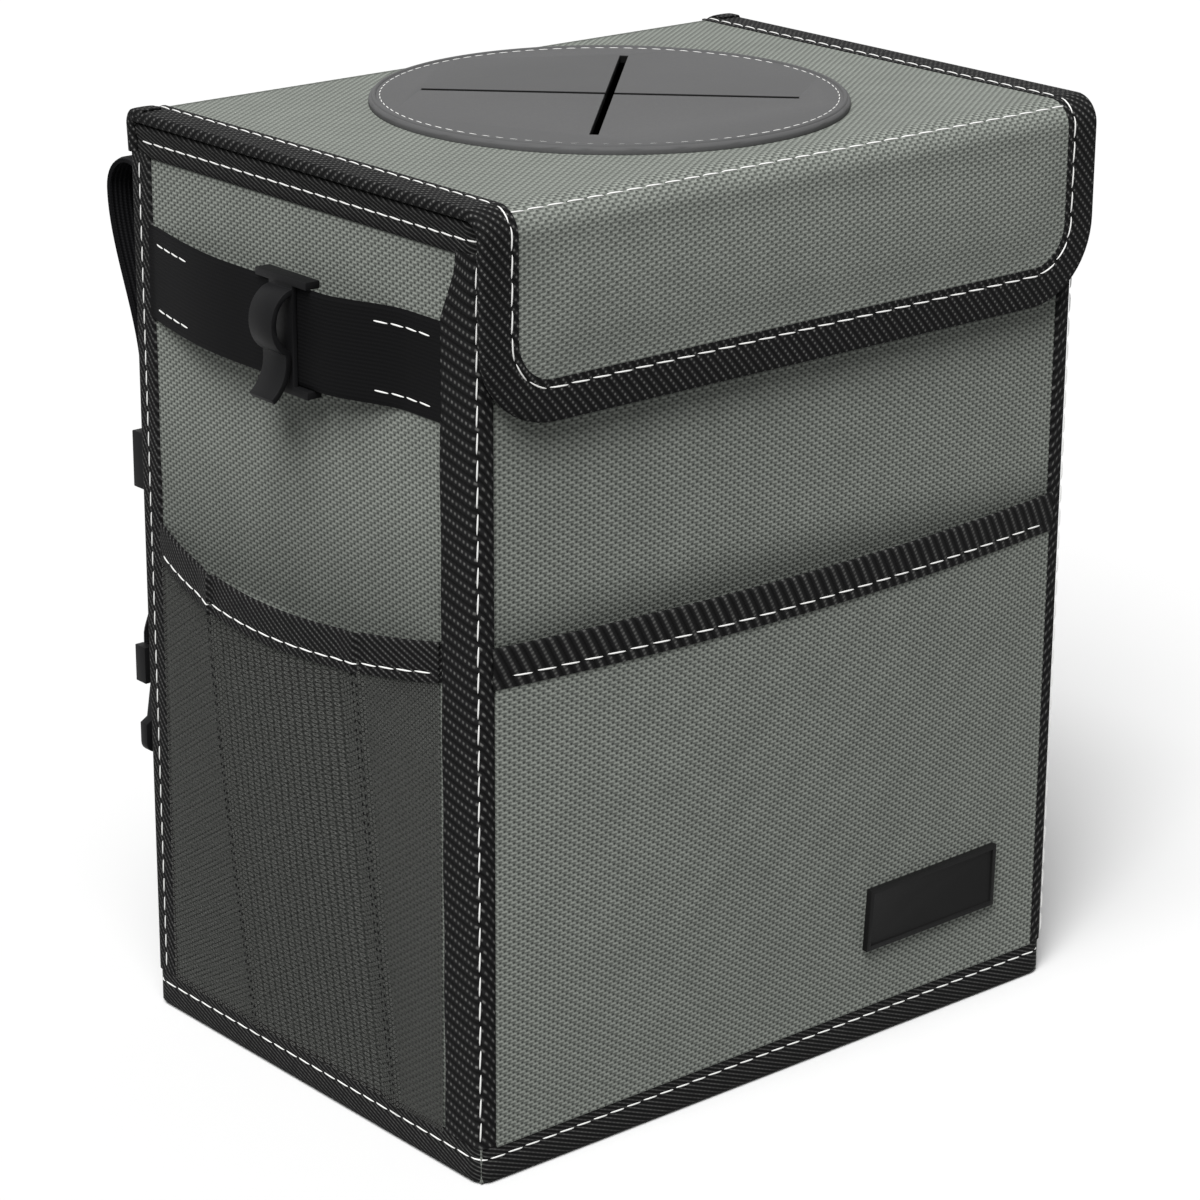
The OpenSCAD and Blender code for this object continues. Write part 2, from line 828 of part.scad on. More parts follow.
// A layer of the flap: y0 and y1 are its faces, r0 and r1 their radii in the crease.
module flap_layer(y0, y1, inset, r1, r0) {
    turn = half_gap(crease_r);
    w = lid_hw - inset;
    union() {
        along_y(y0, y1) polygon(flap_outline(inset, crease[1]));
        along_x(-w, w) polygon(concat(
            arc(crease, r1, 135 + turn, 180, 6), arc(crease, r0, 180, 135 + turn, 6)
        ));
    }
}

module flap_panel() {
    color(cloth)
        flap_layer(flap_y, flap_y + lid_fabric_t, 0, crease_r, crease_r - lid_fabric_t);
}

module flap_board() {
    y = flap_y + lid_fabric_t;
    color(board) along_y(y, y + lid_board_t) polygon(flap_outline(0, crease[1]));
}

module flap_lining() {
    r = crease_r - lid_fabric_t - lid_board_t;
    y = flap_y + lid_t;
    color(liner) flap_layer(y - lid_lining_t, y, 0, r, r - lid_lining_t);
}

// Tape folded round the sides and the lower edge of the flap.
module flap_binding() {
    r = crease_r + lid_tape_t;
    color(tape) difference() {
        flap_layer(flap_y - lid_tape_t, flap_y + lid_t + lid_tape_t, -lid_tape_t,
            r, r - lid_t - 2 * lid_tape_t);
        flap_layer(flap_y, flap_y + lid_t, 0, crease_r, crease_r - lid_t);
        along_y(flap_y - 2, flap_y + lid_t + 2)
            polygon(flap_outline(lid_tape_w - lid_tape_t, lid_top + 2));
    }
}

// Strap

// Webbing sewn under the rim, bent over, back to the box and down to the buckle's bar,
// round which its end is folded and sewn up.
module strap() {
    wall = hd + strap_t / 2;
    bend = [wall + strap_bend_r, strap_top_z];
    path = concat(
        [[wall, strap_top_z - anchor_h]],
        arc(bend, strap_bend_r, 180, 0, 14),
        [for (i = [1:8]) let (s = i / 8) [
            mix(bend[0] + strap_bend_r, strap_mid, smooth(s)),
            mix(strap_top_z, strap_back_z, s),
        ]],
        arc([strap_mid + bar_loop_r, buckle_bar_z], bar_loop_r, 180, 360, 12),
        [for (i = [1:4]) [
            mix(strap_mid + 2 * bar_loop_r, strap_mid + strap_t + 0.15, smooth(i / 4)),
            buckle_bar_z + 4 + 3.5 * i,
        ]],
        [[strap_mid + strap_t + 0.15, buckle_bar_z + 28]]
    );
    color(webbing) along_x(strap_x - strap_w / 2, strap_x + strap_w / 2)
        polygon(ribbon(path, strap_t));
}

// Patch of webbing sewn over the strap's end.
module strap_anchor() {
    y = hd + strap_t;
    color(webbing) block(
        [strap_x - strap_w / 2, y, strap_top_z - anchor_h],
        [strap_x + strap_w / 2, y + strap_t, strap_top_z - 2]
    );
}

module strap_left() {
    on_left() strap();
}

module strap_right() {
    strap();
}

module strap_anchor_left() {
    on_left() strap_anchor();
}

module strap_anchor_right() {
    strap_anchor();
}

// Buckle

buckle_hw = frame_hw + frame_rail;
buckle_y0 = bar_y - bar_d / 2 - 0.6;
buckle_y1 = bar_y + bar_d / 2 + 0.6;
// Top of the buckle's solid part, below the webbing folded round the bar.
buckle_top = buckle_bar_z - bar_loop_r - strap_t / 2 - 0.6;
buckle_shoulder = 5;

// The end that the webbing is looped on: a bar between two rails above a shoulder.
module webbing_end() {
    translate([strap_x - frame_hw - 1, bar_y, buckle_bar_z]) rotate([0, 90, 0])
        cylinder(d = bar_d, h = 2 * frame_hw + 2, $fn = 32);
    for (s = [-1, 1]) block(
        [strap_x + s * (frame_hw + frame_rail / 2) - frame_rail / 2, buckle_y0,
            buckle_top - buckle_shoulder],
        [strap_x + s * (frame_hw + frame_rail / 2) + frame_rail / 2, buckle_y1,
            buckle_bar_z + bar_d / 2 + 0.6]
    );
    block(
        [strap_x - frame_hw, buckle_y0, buckle_top - buckle_shoulder],
        [strap_x + frame_hw, buckle_y1, buckle_top]
    );
}

// The male half has a guide tongue and two springy arms with barbed, rounded tips.
module male_half() {
    base = buckle_top - buckle_shoulder;
    y0 = bar_y - 1.7;
    y1 = bar_y + 1.7;
    color(black) union() {
        webbing_end();
        block([strap_x - 2.5, y0, base - socket_l + 6], [strap_x + 2.5, y1, base]);
        for (s = [0, 1]) translate([strap_x, 0, 0]) mirror([s, 0, 0]) along_y(y0, y1)
            polygon(concat(
                [[8, base], [8.6, base - 12], [9.6, base - socket_l + 4]],
                arc([11.4, base - socket_l + 4], 1.8, 180, 270, 4),
                arc([12.2, base - socket_l + 5.5], 3.3, 270, 360, 5),
                [[15.5, base - 14], [13, base - 12.5], [11, base]]
            ));
    }
}

// The female half is a flat hollow socket, open below, with a window at each side.
module female_half() {
    base = buckle_top - buckle_shoulder;
    color(black) difference() {
        union() {
            webbing_end();
            block(
                [strap_x - buckle_hw, buckle_y0 - 0.8, base - socket_l],
                [strap_x + buckle_hw, buckle_y1 + 0.8, base]
            );
        }
        block(
            [strap_x - buckle_hw + buckle_t, bar_y - 2.2, base - socket_l - 1],
            [strap_x + buckle_hw - buckle_t, bar_y + 2.2, base - buckle_t]
        );
        block(
            [strap_x - buckle_hw - 1, bar_y - 2.2, base - 14],
            [strap_x + buckle_hw + 1, bar_y + 2.2, base - 5]
        );
    }
}

module buckle_male() {
    on_left() male_half();
}

module buckle_female() {
    female_half();
}

// The slider's middle bar lies behind the webbing, its two end bars in front of it.
module strap_slider() {
    bar = 3.2;
    back = strap_in - strap_gap;
    front = strap_in + strap_t + strap_gap;
    z0 = slider_z - slider_h / 2;
    z1 = slider_z + slider_h / 2;
    color(black) on_left() union() {
        for (s = [-1, 1]) block(
            [strap_x + s * (frame_hw + frame_rail / 2) - frame_rail / 2, back - 2, z0],
            [strap_x + s * (frame_hw + frame_rail / 2) + frame_rail / 2, front + 2, z1]
        );
        block([strap_x - frame_hw, front, z0], [strap_x + frame_hw, front + 2, z0 + bar]);
        block([strap_x - frame_hw, front, z1 - bar], [strap_x + frame_hw, front + 2, z1]);
        block(
            [strap_x - frame_hw, back - 2, slider_z - bar / 2],
            [strap_x + frame_hw, back, slider_z + bar / 2]
        );
    }
}

front_panel();
back_panel();
left_panel();
right_panel();
bottom_panel();
front_board();
back_board();
left_board();
right_board();
bottom_board();
inner_lining();
rim_binding();
bottom_binding();
corner_binding_front_left();
corner_binding_front_right();
corner_binding_rear_left();
corner_binding_rear_right();
front_pocket();
front_pocket_binding();
left_mesh_pocket();
right_mesh_pocket();
left_mesh_binding();
right_mesh_binding();
left_elastic();
right_elastic();
left_hook();
right_hook();
badge_patch();
body_loop_strip();
lid_panel();
lid_board();
lid_lining();
lid_binding_left();
lid_binding_right();
slit_cover();
flap_panel();
flap_board();
flap_lining();
flap_binding();
flap_hook_strip();
strap_left();
strap_right();
strap_anchor_left();
strap_anchor_right();
buckle_male();
buckle_female();
strap_slider();
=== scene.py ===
# %% [markdown]
# # A car trash bin
#
# The real bin is a stiffened fabric box. Grey-green Oxford cloth covers boards, black twill tape
# binds every edge, and white thread shows along each seam. The packed CAD model gives the exact
# places, and every cloth piece here is laid over the solid it stands for.

import math

import bpy
import numpy as np
from mathutils import Matrix, Vector


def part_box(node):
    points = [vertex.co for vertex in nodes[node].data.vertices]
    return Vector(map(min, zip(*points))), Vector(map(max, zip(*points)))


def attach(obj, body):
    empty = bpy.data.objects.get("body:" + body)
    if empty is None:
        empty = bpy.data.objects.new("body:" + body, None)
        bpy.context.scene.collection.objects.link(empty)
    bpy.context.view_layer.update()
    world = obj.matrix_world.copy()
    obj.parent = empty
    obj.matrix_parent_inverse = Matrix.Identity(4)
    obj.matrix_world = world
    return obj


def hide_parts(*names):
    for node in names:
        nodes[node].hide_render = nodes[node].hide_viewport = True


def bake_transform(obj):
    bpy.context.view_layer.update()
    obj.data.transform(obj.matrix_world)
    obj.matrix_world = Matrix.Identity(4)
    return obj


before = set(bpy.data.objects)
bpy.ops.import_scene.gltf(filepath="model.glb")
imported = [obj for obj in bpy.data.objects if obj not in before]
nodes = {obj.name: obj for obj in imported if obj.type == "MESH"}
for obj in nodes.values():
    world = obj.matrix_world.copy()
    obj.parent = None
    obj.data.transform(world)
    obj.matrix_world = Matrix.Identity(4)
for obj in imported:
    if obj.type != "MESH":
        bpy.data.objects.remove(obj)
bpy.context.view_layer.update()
MM = 0.001
SIDES = ("left", -1), ("right", 1)
UP = Vector((0, 0, 1))
print("CAD nodes:", len(nodes))

# %% [markdown]
# ## Sizes
#
# The box's own sizes are read once from the nodes that carry them, so each cloth piece lies on
# its wall. The rest are the radii of the two folds, which a box can't tell.

# %% Sizes of the box
HALF_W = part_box("front_panel")[1].x
HALF_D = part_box("back_panel")[1].y
WALL_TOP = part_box("front_panel")[1].z
RIM_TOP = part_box("rim_binding")[1].z
RIM_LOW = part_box("rim_binding")[0].z
HEM_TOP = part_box("bottom_binding")[1].z
LID_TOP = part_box("slit_cover")[0].z
LID_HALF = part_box("lid_board")[1].x
LID_THICK = 2.6 * MM
CREASE_R = 8 * MM
FOLD_R = 5 * MM
FLAP_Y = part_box("flap_panel")[0].y
FLAP_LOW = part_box("flap_board")[0].z
CREASE = (FLAP_Y + CREASE_R, LID_TOP - CREASE_R)
FOLD = (HALF_D - FOLD_R, LID_TOP - FOLD_R)
FLAP_CORNER = 24.5 * MM
print("box", round(HALF_W, 4), round(HALF_D, 4), "lid top", round(LID_TOP, 4))

# %% [markdown]
# ## Shader maths
#
# A weave is arithmetic on a position. This small class wraps a socket, so that a formula can be
# written as an expression, and each operator adds its Math node.

# %% Socket maths


class Value:
    def __init__(self, tree, socket):
        self.tree, self.socket = tree, socket

    def op(self, kind, *others):
        return math_node(self.tree, kind, self, *others)

    def __add__(self, o): return self.op("ADD", o)
    def __radd__(self, o): return self.op("ADD", o)
    def __sub__(self, o): return self.op("SUBTRACT", o)
    def __rsub__(self, o): return math_node(self.tree, "SUBTRACT", o, self)
    def __mul__(self, o): return self.op("MULTIPLY", o)
    def __rmul__(self, o): return self.op("MULTIPLY", o)
    def __truediv__(self, o): return self.op("DIVIDE", o)
    def fract(self): return self.op("FRACT")
    def floor(self): return self.op("FLOOR")
    def abs(self): return self.op("ABSOLUTE")
    def sin(self): return self.op("SINE")
    def max(self, o): return self.op("MAXIMUM", o)
    def min(self, o): return self.op("MINIMUM", o)
    def wave(self): return (self * math.tau).sin()

    def ramp(self, low, high):
        return node(self.tree, "ShaderNodeMapRange", {"interpolation_type": "SMOOTHSTEP"},
                    {"Value": self, "From Min": low, "From Max": high})

    def feed(self, shader, name):
        self.tree.links.new(self.socket, shader.inputs[name])


def node(tree, kind, settings=None, inputs=(), out=0):
    made = tree.nodes.new(kind)
    for key, value in (settings or {}).items():
        setattr(made, key, value)
    pairs = inputs.items() if isinstance(inputs, dict) else enumerate(inputs)
    for key, value in pairs:
        if isinstance(value, Value):
            tree.links.new(value.socket, made.inputs[key])
        else:
            made.inputs[key].default_value = value
    return Value(tree, made.outputs[out])


def math_node(tree, kind, *inputs):
    return node(tree, "ShaderNodeMath", {"operation": kind}, inputs)


def material(name, colour, roughness, **constants):
    made = bpy.data.materials.new(name)
    made.use_nodes = True
    tree = made.node_tree
    shader = tree.nodes["Principled BSDF"]
    shader.inputs["Base Color"].default_value = (*colour, 1)
    shader.inputs["Roughness"].default_value = roughness
    for key, value in constants.items():
        shader.inputs[key.replace("_", " ").title().replace("Ior", "IOR")].default_value = value
    return made, tree, shader


MIX_FACTOR, MIX_A, MIX_B, MIX_COLOUR = 0, 6, 7, 2


def mixed(tree, factor, a, b):
    a, b = ((*c, 1) if isinstance(c, tuple) else c for c in (a, b))
    return node(tree, "ShaderNodeMix", {"data_type": "RGBA"},
                {MIX_FACTOR: factor, MIX_A: a, MIX_B: b}, MIX_COLOUR)


def bump(tree, shader, height, strength, distance):
    node(tree, "ShaderNodeBump", None,
         {"Strength": strength, "Distance": distance, "Height": height}).feed(shader, "Normal")


def first_two(tree, place):
    split = node(tree, "ShaderNodeSeparateXYZ", None, [place])
    return split, Value(tree, split.socket.node.outputs[1])


def cloth_coords(tree):
    """The place on the flat cloth, in metres."""
    return first_two(tree, node(tree, "ShaderNodeUVMap", {"uv_map": "UVMap"}))


def object_coords(tree):
    return node(tree, "ShaderNodeTexCoord", out="Object")


def noise(tree, scale, detail=2.0):
    return node(tree, "ShaderNodeTexNoise", None,
                {"Vector": object_coords(tree), "Scale": scale, "Detail": detail})


print("shader operations:", sum(callable(f) for f in vars(Value).values()))


# %% [markdown]
# ## Oxford cloth
#
# The cover is a coarse polyester Oxford with a coating. Up close it shows rows of short light
# loops that lean one way in one row and the other way in the next, with a dark pinhole between
# them. The pattern reads each piece's own flat cloth coordinates, so it follows every bend.

# %% Oxford cloth


ROW_H = 1.087 * MM
LOOP_PITCH = 3.2 * MM
CLOTH_LIGHT, CLOTH_MIDDLE = (0.37, 0.393, 0.357), (0.136, 0.1455, 0.132)
CLOTH_DARK = (0.012, 0.013, 0.012)


def cloth_material(name, hollow=None, reach=15 * MM, painted_light_until=None):
    """The weave, from its row of loops to the pinholes between them.

    hollow is the height of a pocket's mouth: from a little below it, painted shade darkens the
    cloth's colour, and reach is how far up that painted shade fades. Below calm the pinholes are
    painted weaker, as painted light on the lid, which faces the light.
    """
    made, tree, shader = material(name, CLOTH_LIGHT, 0.85, specular_ior_level=0.1)
    u, v = cloth_coords(tree)
    row = v / ROW_H
    fx = (u / LOOP_PITCH + (row.floor() * 0.5).fract()).fract()
    fy = row.fract()
    dash = ((0.36 - (fx - 0.37).abs()) * 8).min(1.0) * (1 - (fy - 0.64).abs() * 2.3)
    leg = 1 - (fx + fy * 0.36 - 0.72).abs() * 8
    loop = dash.max(leg * 0.75).max(0.0)
    px, py = (fx - 0.86) / 0.13, (fy - 0.34) / 0.46
    pin = 1 - (px * px + py * py).ramp(0.15, 1.15)
    under = ((0.32 - (fx - 0.36).abs()) * 8).min(1.0).max(0.0)
    pin = pin.max(under * (1 - (fy - 0.12).abs() * 7).max(0.0) * 0.5)
    fine = noise(tree, 1100, 2)
    patchy = noise(tree, 60, 2)
    tone = (loop * 0.85 + (fine - 0.5) * 0.5 + (patchy - 0.5) * 0.2).max(0.0).min(1.0)
    # Painted light: on the lid's top, which faces the light, the pinholes are painted weaker than
    # on the flap.
    deep = pin * (0.26 + v.ramp(painted_light_until, painted_light_until + 10 * MM) * 0.3) if painted_light_until else pin * 0.66
    colour = mixed(tree, deep, mixed(tree, tone, CLOTH_MIDDLE, CLOTH_LIGHT), CLOTH_DARK)
    # Painted shade: near and above a pocket's mouth the cloth's colour is darkened, fading upwards
    # over reach.
    if hollow:
        above = v.ramp(hollow - 2 * MM, hollow + reach)
        in_light = above.max(1 - v.ramp(hollow - 9 * MM, hollow - 8 * MM))
        colour = mixed(tree, 0.32 * (1 - in_light), colour, tuple(c * 0.2 for c in CLOTH_DARK))
    colour.feed(shader, "Base Color")
    bump(tree, shader, loop - pin + fine * 0.2, 0.4, 0.2 * MM)
    return made


OXFORD = cloth_material("oxford_cloth")
# The lid's copy has painted light on its top, where its pinholes are painted weaker.
OXFORD_LID_PAINTED_LIGHT = cloth_material("oxford_cloth_lid_painted_light", painted_light_until=150 * MM)
# The front and side copies have painted shade above the pockets' mouths.
OXFORD_FRONT_PAINTED_SHADE = cloth_material("oxford_cloth_front_painted_shade", 164.5 * MM)
OXFORD_SIDE_PAINTED_SHADE = cloth_material("oxford_cloth_side_painted_shade", 161.5 * MM, 50 * MM)
print("cloth finishes:", len(bpy.data.materials))

# %% [markdown]
# ## Twill tape
#
# The binding is black twill. Its ribs run slantwise and each rib is a row of small grey floats,
# which is why the tape looks dotted from near by and plainly black from further away.

# %% Twill tape
TWILL_GAP, TWILL_BODY, TWILL_FLOAT = (0.0035,) * 3, (0.018, 0.018, 0.0185), (0.135, 0.135, 0.13)


def twill_material(name, turn, pitch, bead=1.7 * MM, dots=1.0):
    """turn is the angle of the ribs to the tape's length, and dots says how far they break up."""
    made, tree, shader = material(name, (0.006, 0.006, 0.006), 0.75, specular_ior_level=0.05)
    u, v = cloth_coords(tree)
    c, s = math.cos(math.radians(turn)), math.sin(math.radians(turn))
    rib = ((u * c - v * s) / pitch).fract() - 0.5
    ridge = 1 - rib.abs() * 2
    beads = (((v * c + u * s) / bead).wave() * 0.5 + 0.5).ramp(0.3, 0.95)
    float_ = ridge.ramp(0.58, 0.9) * (beads * dots + (1 - dots) * 0.5)
    worn = noise(tree, 300, 2)
    ground = mixed(tree, ridge, TWILL_GAP, TWILL_BODY)
    colour = mixed(tree, (float_ * (worn * 1.3 + 0.15)).min(1.0), ground, TWILL_FLOAT)
    colour.feed(shader, "Base Color")
    bump(tree, shader, ridge * 0.8 + beads * 0.35 * dots, 0.6, 0.3 * MM)
    return made


TWILL_LID = twill_material("twill_lid", 41.8, 2.2 * MM, 1.5 * MM)
TWILL_MOUTH = twill_material("twill_mouth", -24, 1.3 * MM, dots=0.2)
TWILL_FLOOR = twill_material("twill_floor", 22, 1.25 * MM, dots=0.3)
TWILL_POCKET = twill_material("twill_pocket", -63, 3.4 * MM, 1.3 * MM, 0.6)
TWILL_NET = {sign: twill_material("twill_net_" + side, -34 * sign, 1.7 * MM, 1.2 * MM, 0.6)
             for side, sign in SIDES}
TWILL_CORNER = {way: twill_material(name, -76 * way, 3.05 * MM, 1.75 * MM)
                for name, way in (("twill_corner", 1), ("twill_corner_other_way", -1))}
print("with the tape finishes:", len(bpy.data.materials))

# %% [markdown]
# ## Webbing, elastic, net, thread, rubber and plastic
#
# The small finishes follow the same idea: a pitch measured on the photograph, a height for the
# bump, and two close colours.

# %% Other finishes


def ribbed_material(name, pitch, along_u, depth, light, dark, cross=0.9 * MM, roughness=0.72):
    made, tree, shader = material(name, dark, roughness, specular_ior_level=0.05)
    u, v = cloth_coords(tree)
    a, b = (u, v) if along_u else (v, u)
    rib = (a / pitch).wave() * 0.5 + 0.5
    knit = (b / cross + (a / pitch).floor() * 0.5).wave() * 0.5 + 0.5
    colour = mixed(tree, rib.ramp(0.2, 0.95) * (knit * 0.5 + 0.5), dark, light)
    colour.feed(shader, "Base Color")
    bump(tree, shader, rib + knit * 0.3, 0.6, depth)
    return made


NET_PITCH, NET_ROW = 1.45 * MM, 1.5 * MM


def net_material():
    """Rings of thread in staggered columns, a little see-through between them."""
    made, tree, shader = material("net", (0.05, 0.05, 0.048), 0.85, specular_ior_level=0.08)
    u, v = cloth_coords(tree)
    column = u / NET_PITCH
    cx = column.fract() - 0.5
    cy = (v / NET_ROW + (column.floor() * 0.5).fract()).fract() - 0.5
    reach = cx * cx + cy * cy * 1.3
    ring = reach.ramp(0.012, 0.05) * (1 - reach.ramp(0.10, 0.20))
    speck = noise(tree, 900, 2)
    thread = mixed(tree, ring * (speck * 1.1 + 0.1), (0.02, 0.02, 0.019), (0.17, 0.173, 0.163))
    thread.feed(shader, "Base Color")
    (ring * 0.14 + speck * 0.2 + 0.56).min(1.0).feed(shader, "Alpha")
    bump(tree, shader, ring, 0.4, 0.2 * MM)
    return made


def plain_material(name, colour, roughness, grain, depth, specular, vary=0.15):
    """grain is how fine the surface's bumps are, and depth how high, in millimetres."""
    made, tree, shader = material(name, colour, roughness, specular_ior_level=specular)
    fine = noise(tree, grain, 3)
    broad = noise(tree, 30, 2)
    low, high = (tuple(c * share for c in colour) for share in (1 - vary, 1 + vary))
    mixed(tree, broad, low, high).feed(shader, "Base Color")
    (fine * 0.16 + (roughness - 0.08)).feed(shader, "Roughness")
    bump(tree, shader, fine, 0.35, depth * MM)
    return made


SLIT_HALF_W, SLIT_HALF_L = 1.3 * MM, 56.6 * MM


def slit_rubber(*finish):
    """The disc's rubber, with painted shade on the walls of its two slits, where little light gets.
    """
    made = plain_material(*finish)
    tree = made.node_tree
    shader = tree.nodes["Principled BSDF"]
    x, y = first_two(tree, object_coords(tree))
    one, other = (x + y).abs() * math.sqrt(0.5), (x - y).abs() * math.sqrt(0.5)
    # Painted shade: near-black colour on the slits' walls and on a thin edge beside them.
    wall = 1 - one.min(other).ramp(SLIT_HALF_W, SLIT_HALF_W + 0.15 * MM)
    inside = 1 - one.max(other).ramp(SLIT_HALF_L, SLIT_HALF_L + 0.2 * MM)
    rubber = Value(tree, shader.inputs["Base Color"].links[0].from_socket)
    mixed(tree, wall * inside, rubber, (0.006, 0.006, 0.006)).feed(shader, "Base Color")
    return made


WEBBING = ribbed_material("webbing", 1.6 * MM, True, 0.35 * MM,
                          (0.014, 0.014, 0.015), (0.0035, 0.0035, 0.004))
ELASTIC = ribbed_material("elastic", 1.15 * MM, False, 0.08 * MM,
                          (0.0062, 0.0062, 0.0066), (0.0042, 0.0042, 0.0045))
NET = net_material()
THREAD = plain_material("white_thread", (0.84, 0.84, 0.82), 0.75, 3000, 0.05, 0.5, 0.05)
RUBBER = slit_rubber("grey_rubber", (0.099, 0.099, 0.1), 0.6, 1800, 0.03, 0.06, 0.05)
PLASTIC = plain_material("black_plastic", (0.007, 0.007, 0.0075), 0.5, 1500, 0.03, 0.08)
PATCH = plain_material("patch_rubber", (0.008,) * 3, 0.55, 1400, 0.05, 0.08)
BLACK_THREAD = plain_material("black_thread", (0.004,) * 3, 0.8, 3000, 0.1, 0.1)
BOARD = plain_material("board", (0.012, 0.012, 0.013), 0.7, 500, 0.1, 0.15)
LINING = plain_material("coated_lining", (0.022, 0.022, 0.024), 0.4, 160, 0.5, 0.3, 0.25)
FASTENER = plain_material("touch_fastener", (0.008, 0.008, 0.009), 0.9, 2400, 0.5, 0.1)
print("all finishes:", len(bpy.data.materials))

# %% [markdown]
# ## Sheets of cloth
#
# Every cloth piece starts as a grid. Each point of the grid is put in its place by a rule, and
# the grid's map is set to the flat cloth's own size in metres, so a weave has the same pitch on
# every piece. Solidify then gives the cloth its thickness.

# %% Sheets


def fasten(piece, body, slot, **sheet):
    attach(piece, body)
    if sheet:
        sheet["flat"] = tuple(round(size, 4) for size in sheet["flat"])


def pick(*pieces):
    """Selects these pieces alone and makes the last one active."""
    bpy.ops.object.select_all(action="DESELECT")
    for piece in pieces:
        piece.select_set(True)
        bpy.context.view_layer.objects.active = piece


def join(extra, piece):
    pick(extra, piece)
    bpy.ops.object.join()


def thicken(piece, thickness, back_finish=0):
    """Gives the active cloth its thickness, behind the face that it shows."""
    solid = piece.modifiers.new("thickness", "SOLIDIFY")
    solid.thickness, solid.offset, solid.material_offset = thickness, -1, back_finish
    bpy.ops.object.modifier_apply(modifier="thickness")


def cloth_sheet(name, nu, nv, place, flat, thickness, finish, outward, inside=None):
    """place and flat turn a grid point into a place in space and one on the flat cloth."""
    pick()
    bpy.ops.mesh.primitive_grid_add(x_subdivisions=nu, y_subdivisions=nv, size=1)
    piece = bpy.context.object
    piece.name = piece.data.name = name
    mesh = piece.data
    params = [(v.co.x + 0.5, v.co.y + 0.5) for v in mesh.vertices]
    probe = min(mesh.polygons, key=lambda f: (f.center.x + 0.4) ** 2 + f.center.y ** 2).index
    for v, (s, t) in zip(mesh.vertices, params):
        v.co = place(s, t)
    layer = mesh.uv_layers[0]
    layer.name = "UVMap"
    flats = [flat(s, t) for s, t in params]
    for loop in mesh.loops:
        layer.data[loop.index].uv = flats[loop.vertex_index]
    if mesh.polygons[probe].normal.dot(Vector(outward)) < 0:
        mesh.flip_normals()
    mesh.materials.append(finish)
    if inside:
        mesh.materials.append(inside)
    if thickness:
        thicken(piece, thickness, 1 if inside else 0)
    bpy.ops.object.shade_smooth_by_angle(angle=math.radians(50))
    return piece


def mix(a, b, s):
    return a + (b - a) * s


def smooth(s):
    s = min(1.0, max(0.0, s))
    return s * s * (3 - 2 * s)


def crown(s, power=0.7):
    return max(0.0, 4 * s * (1 - s)) ** power


def ripple(a, b, seed):
    return (math.sin(a * 41 + seed) * math.sin(b * 37 + seed * 2.3)
            + 0.6 * math.sin(a * 83 + b * 61 + seed * 1.7)) * 0.5


# %% [markdown]
# ## The walls
#
# Each wall is one piece of cloth pulled over its board. It bulges a little where it isn't sewn,
# so the light rolls over it. The back wall's cloth also makes the fold that carries the lid.

# %% Walls
COVER_T = 0.9 * MM
WAVE = 0.12 * MM


def front_spot(s, t):
    x, z = mix(-HALF_W, HALF_W, s), mix(0.5 * MM, WALL_TOP, t)
    puff = 0.9 * MM * crown(s) * crown(t, 0.5) + WAVE * ripple(x * 9, z * 7, 1)
    return x, -HALF_D - max(puff, 0), z


def side_rule(sign):
    def spot(s, t):
        y, z = mix(-HALF_D, HALF_D, s), mix(0.5 * MM, WALL_TOP, t)
        puff = 0.75 * MM * crown(s) * crown(t, 0.5) + WAVE * ripple(y * 9, z * 7, 4 + sign)
        return sign * (HALF_W + max(puff, 0)), y, z
    return spot


def wall_flat(width, height):
    return lambda s, t: (s * width, t * height)


front_wall = cloth_sheet("front_wall_cloth", 60, 70, front_spot,
                         wall_flat(2 * HALF_W, WALL_TOP), COVER_T, OXFORD_FRONT_PAINTED_SHADE, (0, -1, 0))
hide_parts("front_panel")
side_walls = {}
for side, sign in SIDES:
    wall = cloth_sheet(side + "_wall_cloth", 44, 70, side_rule(sign),
                       wall_flat(2 * HALF_D, WALL_TOP), COVER_T, OXFORD_SIDE_PAINTED_SHADE, (sign, 0, 0))
    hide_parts(side + "_panel")
    side_walls[side] = wall


def arc_point(centre, radius, degrees):
    a = math.radians(degrees)
    return centre[0] + radius * math.cos(a), centre[1] + radius * math.sin(a)


def line_lengths(line, apart=math.dist):
    total = [0.0]
    for a, b in zip(line, line[1:]):
        total.append(total[-1] + apart(a, b))
    return total


def vector_lengths(line):
    return line_lengths(line, lambda a, b: (b - a).length)


def turned(degrees):
    """The way off a face that is turned about the lid's hinge lines; 90 is straight up."""
    a = math.radians(degrees)
    return Vector((0, math.cos(a), math.sin(a)))


def profile_rule(line, half_width, puff):
    lengths = line_lengths(line)

    def spot(s, t):
        k = round(t * (len(line) - 1))
        y, z = line[k]
        before, after = line[max(0, k - 1)], line[min(len(line) - 1, k + 1)]
        d = Vector((after[0] - before[0], after[1] - before[1])).normalized()
        w = half_width(k)
        x = mix(-w, w, s)
        lift = puff(x, k)
        return x, y - d.y * lift, z + d.x * lift

    def flat(s, t):
        k = round(t * (len(line) - 1))
        return mix(-half_width(k), half_width(k), s), lengths[k]
    return spot, flat


FOLD_STEPS, BACK_STEPS = 10, 60
back_line = [arc_point(FOLD, FOLD_R, 90 - 9 * i) for i in range(FOLD_STEPS + 1)]
back_line += [(HALF_D, FOLD[1] * (1 - i / BACK_STEPS) + 0.5 * MM * i / BACK_STEPS)
              for i in range(1, BACK_STEPS + 1)]


def back_puff(x, k):
    s = (x / HALF_W + 1) / 2
    t = (k - FOLD_STEPS) / BACK_STEPS
    return 0.8 * MM * crown(s) * crown(t, 0.5) if t > 0 else 0.0


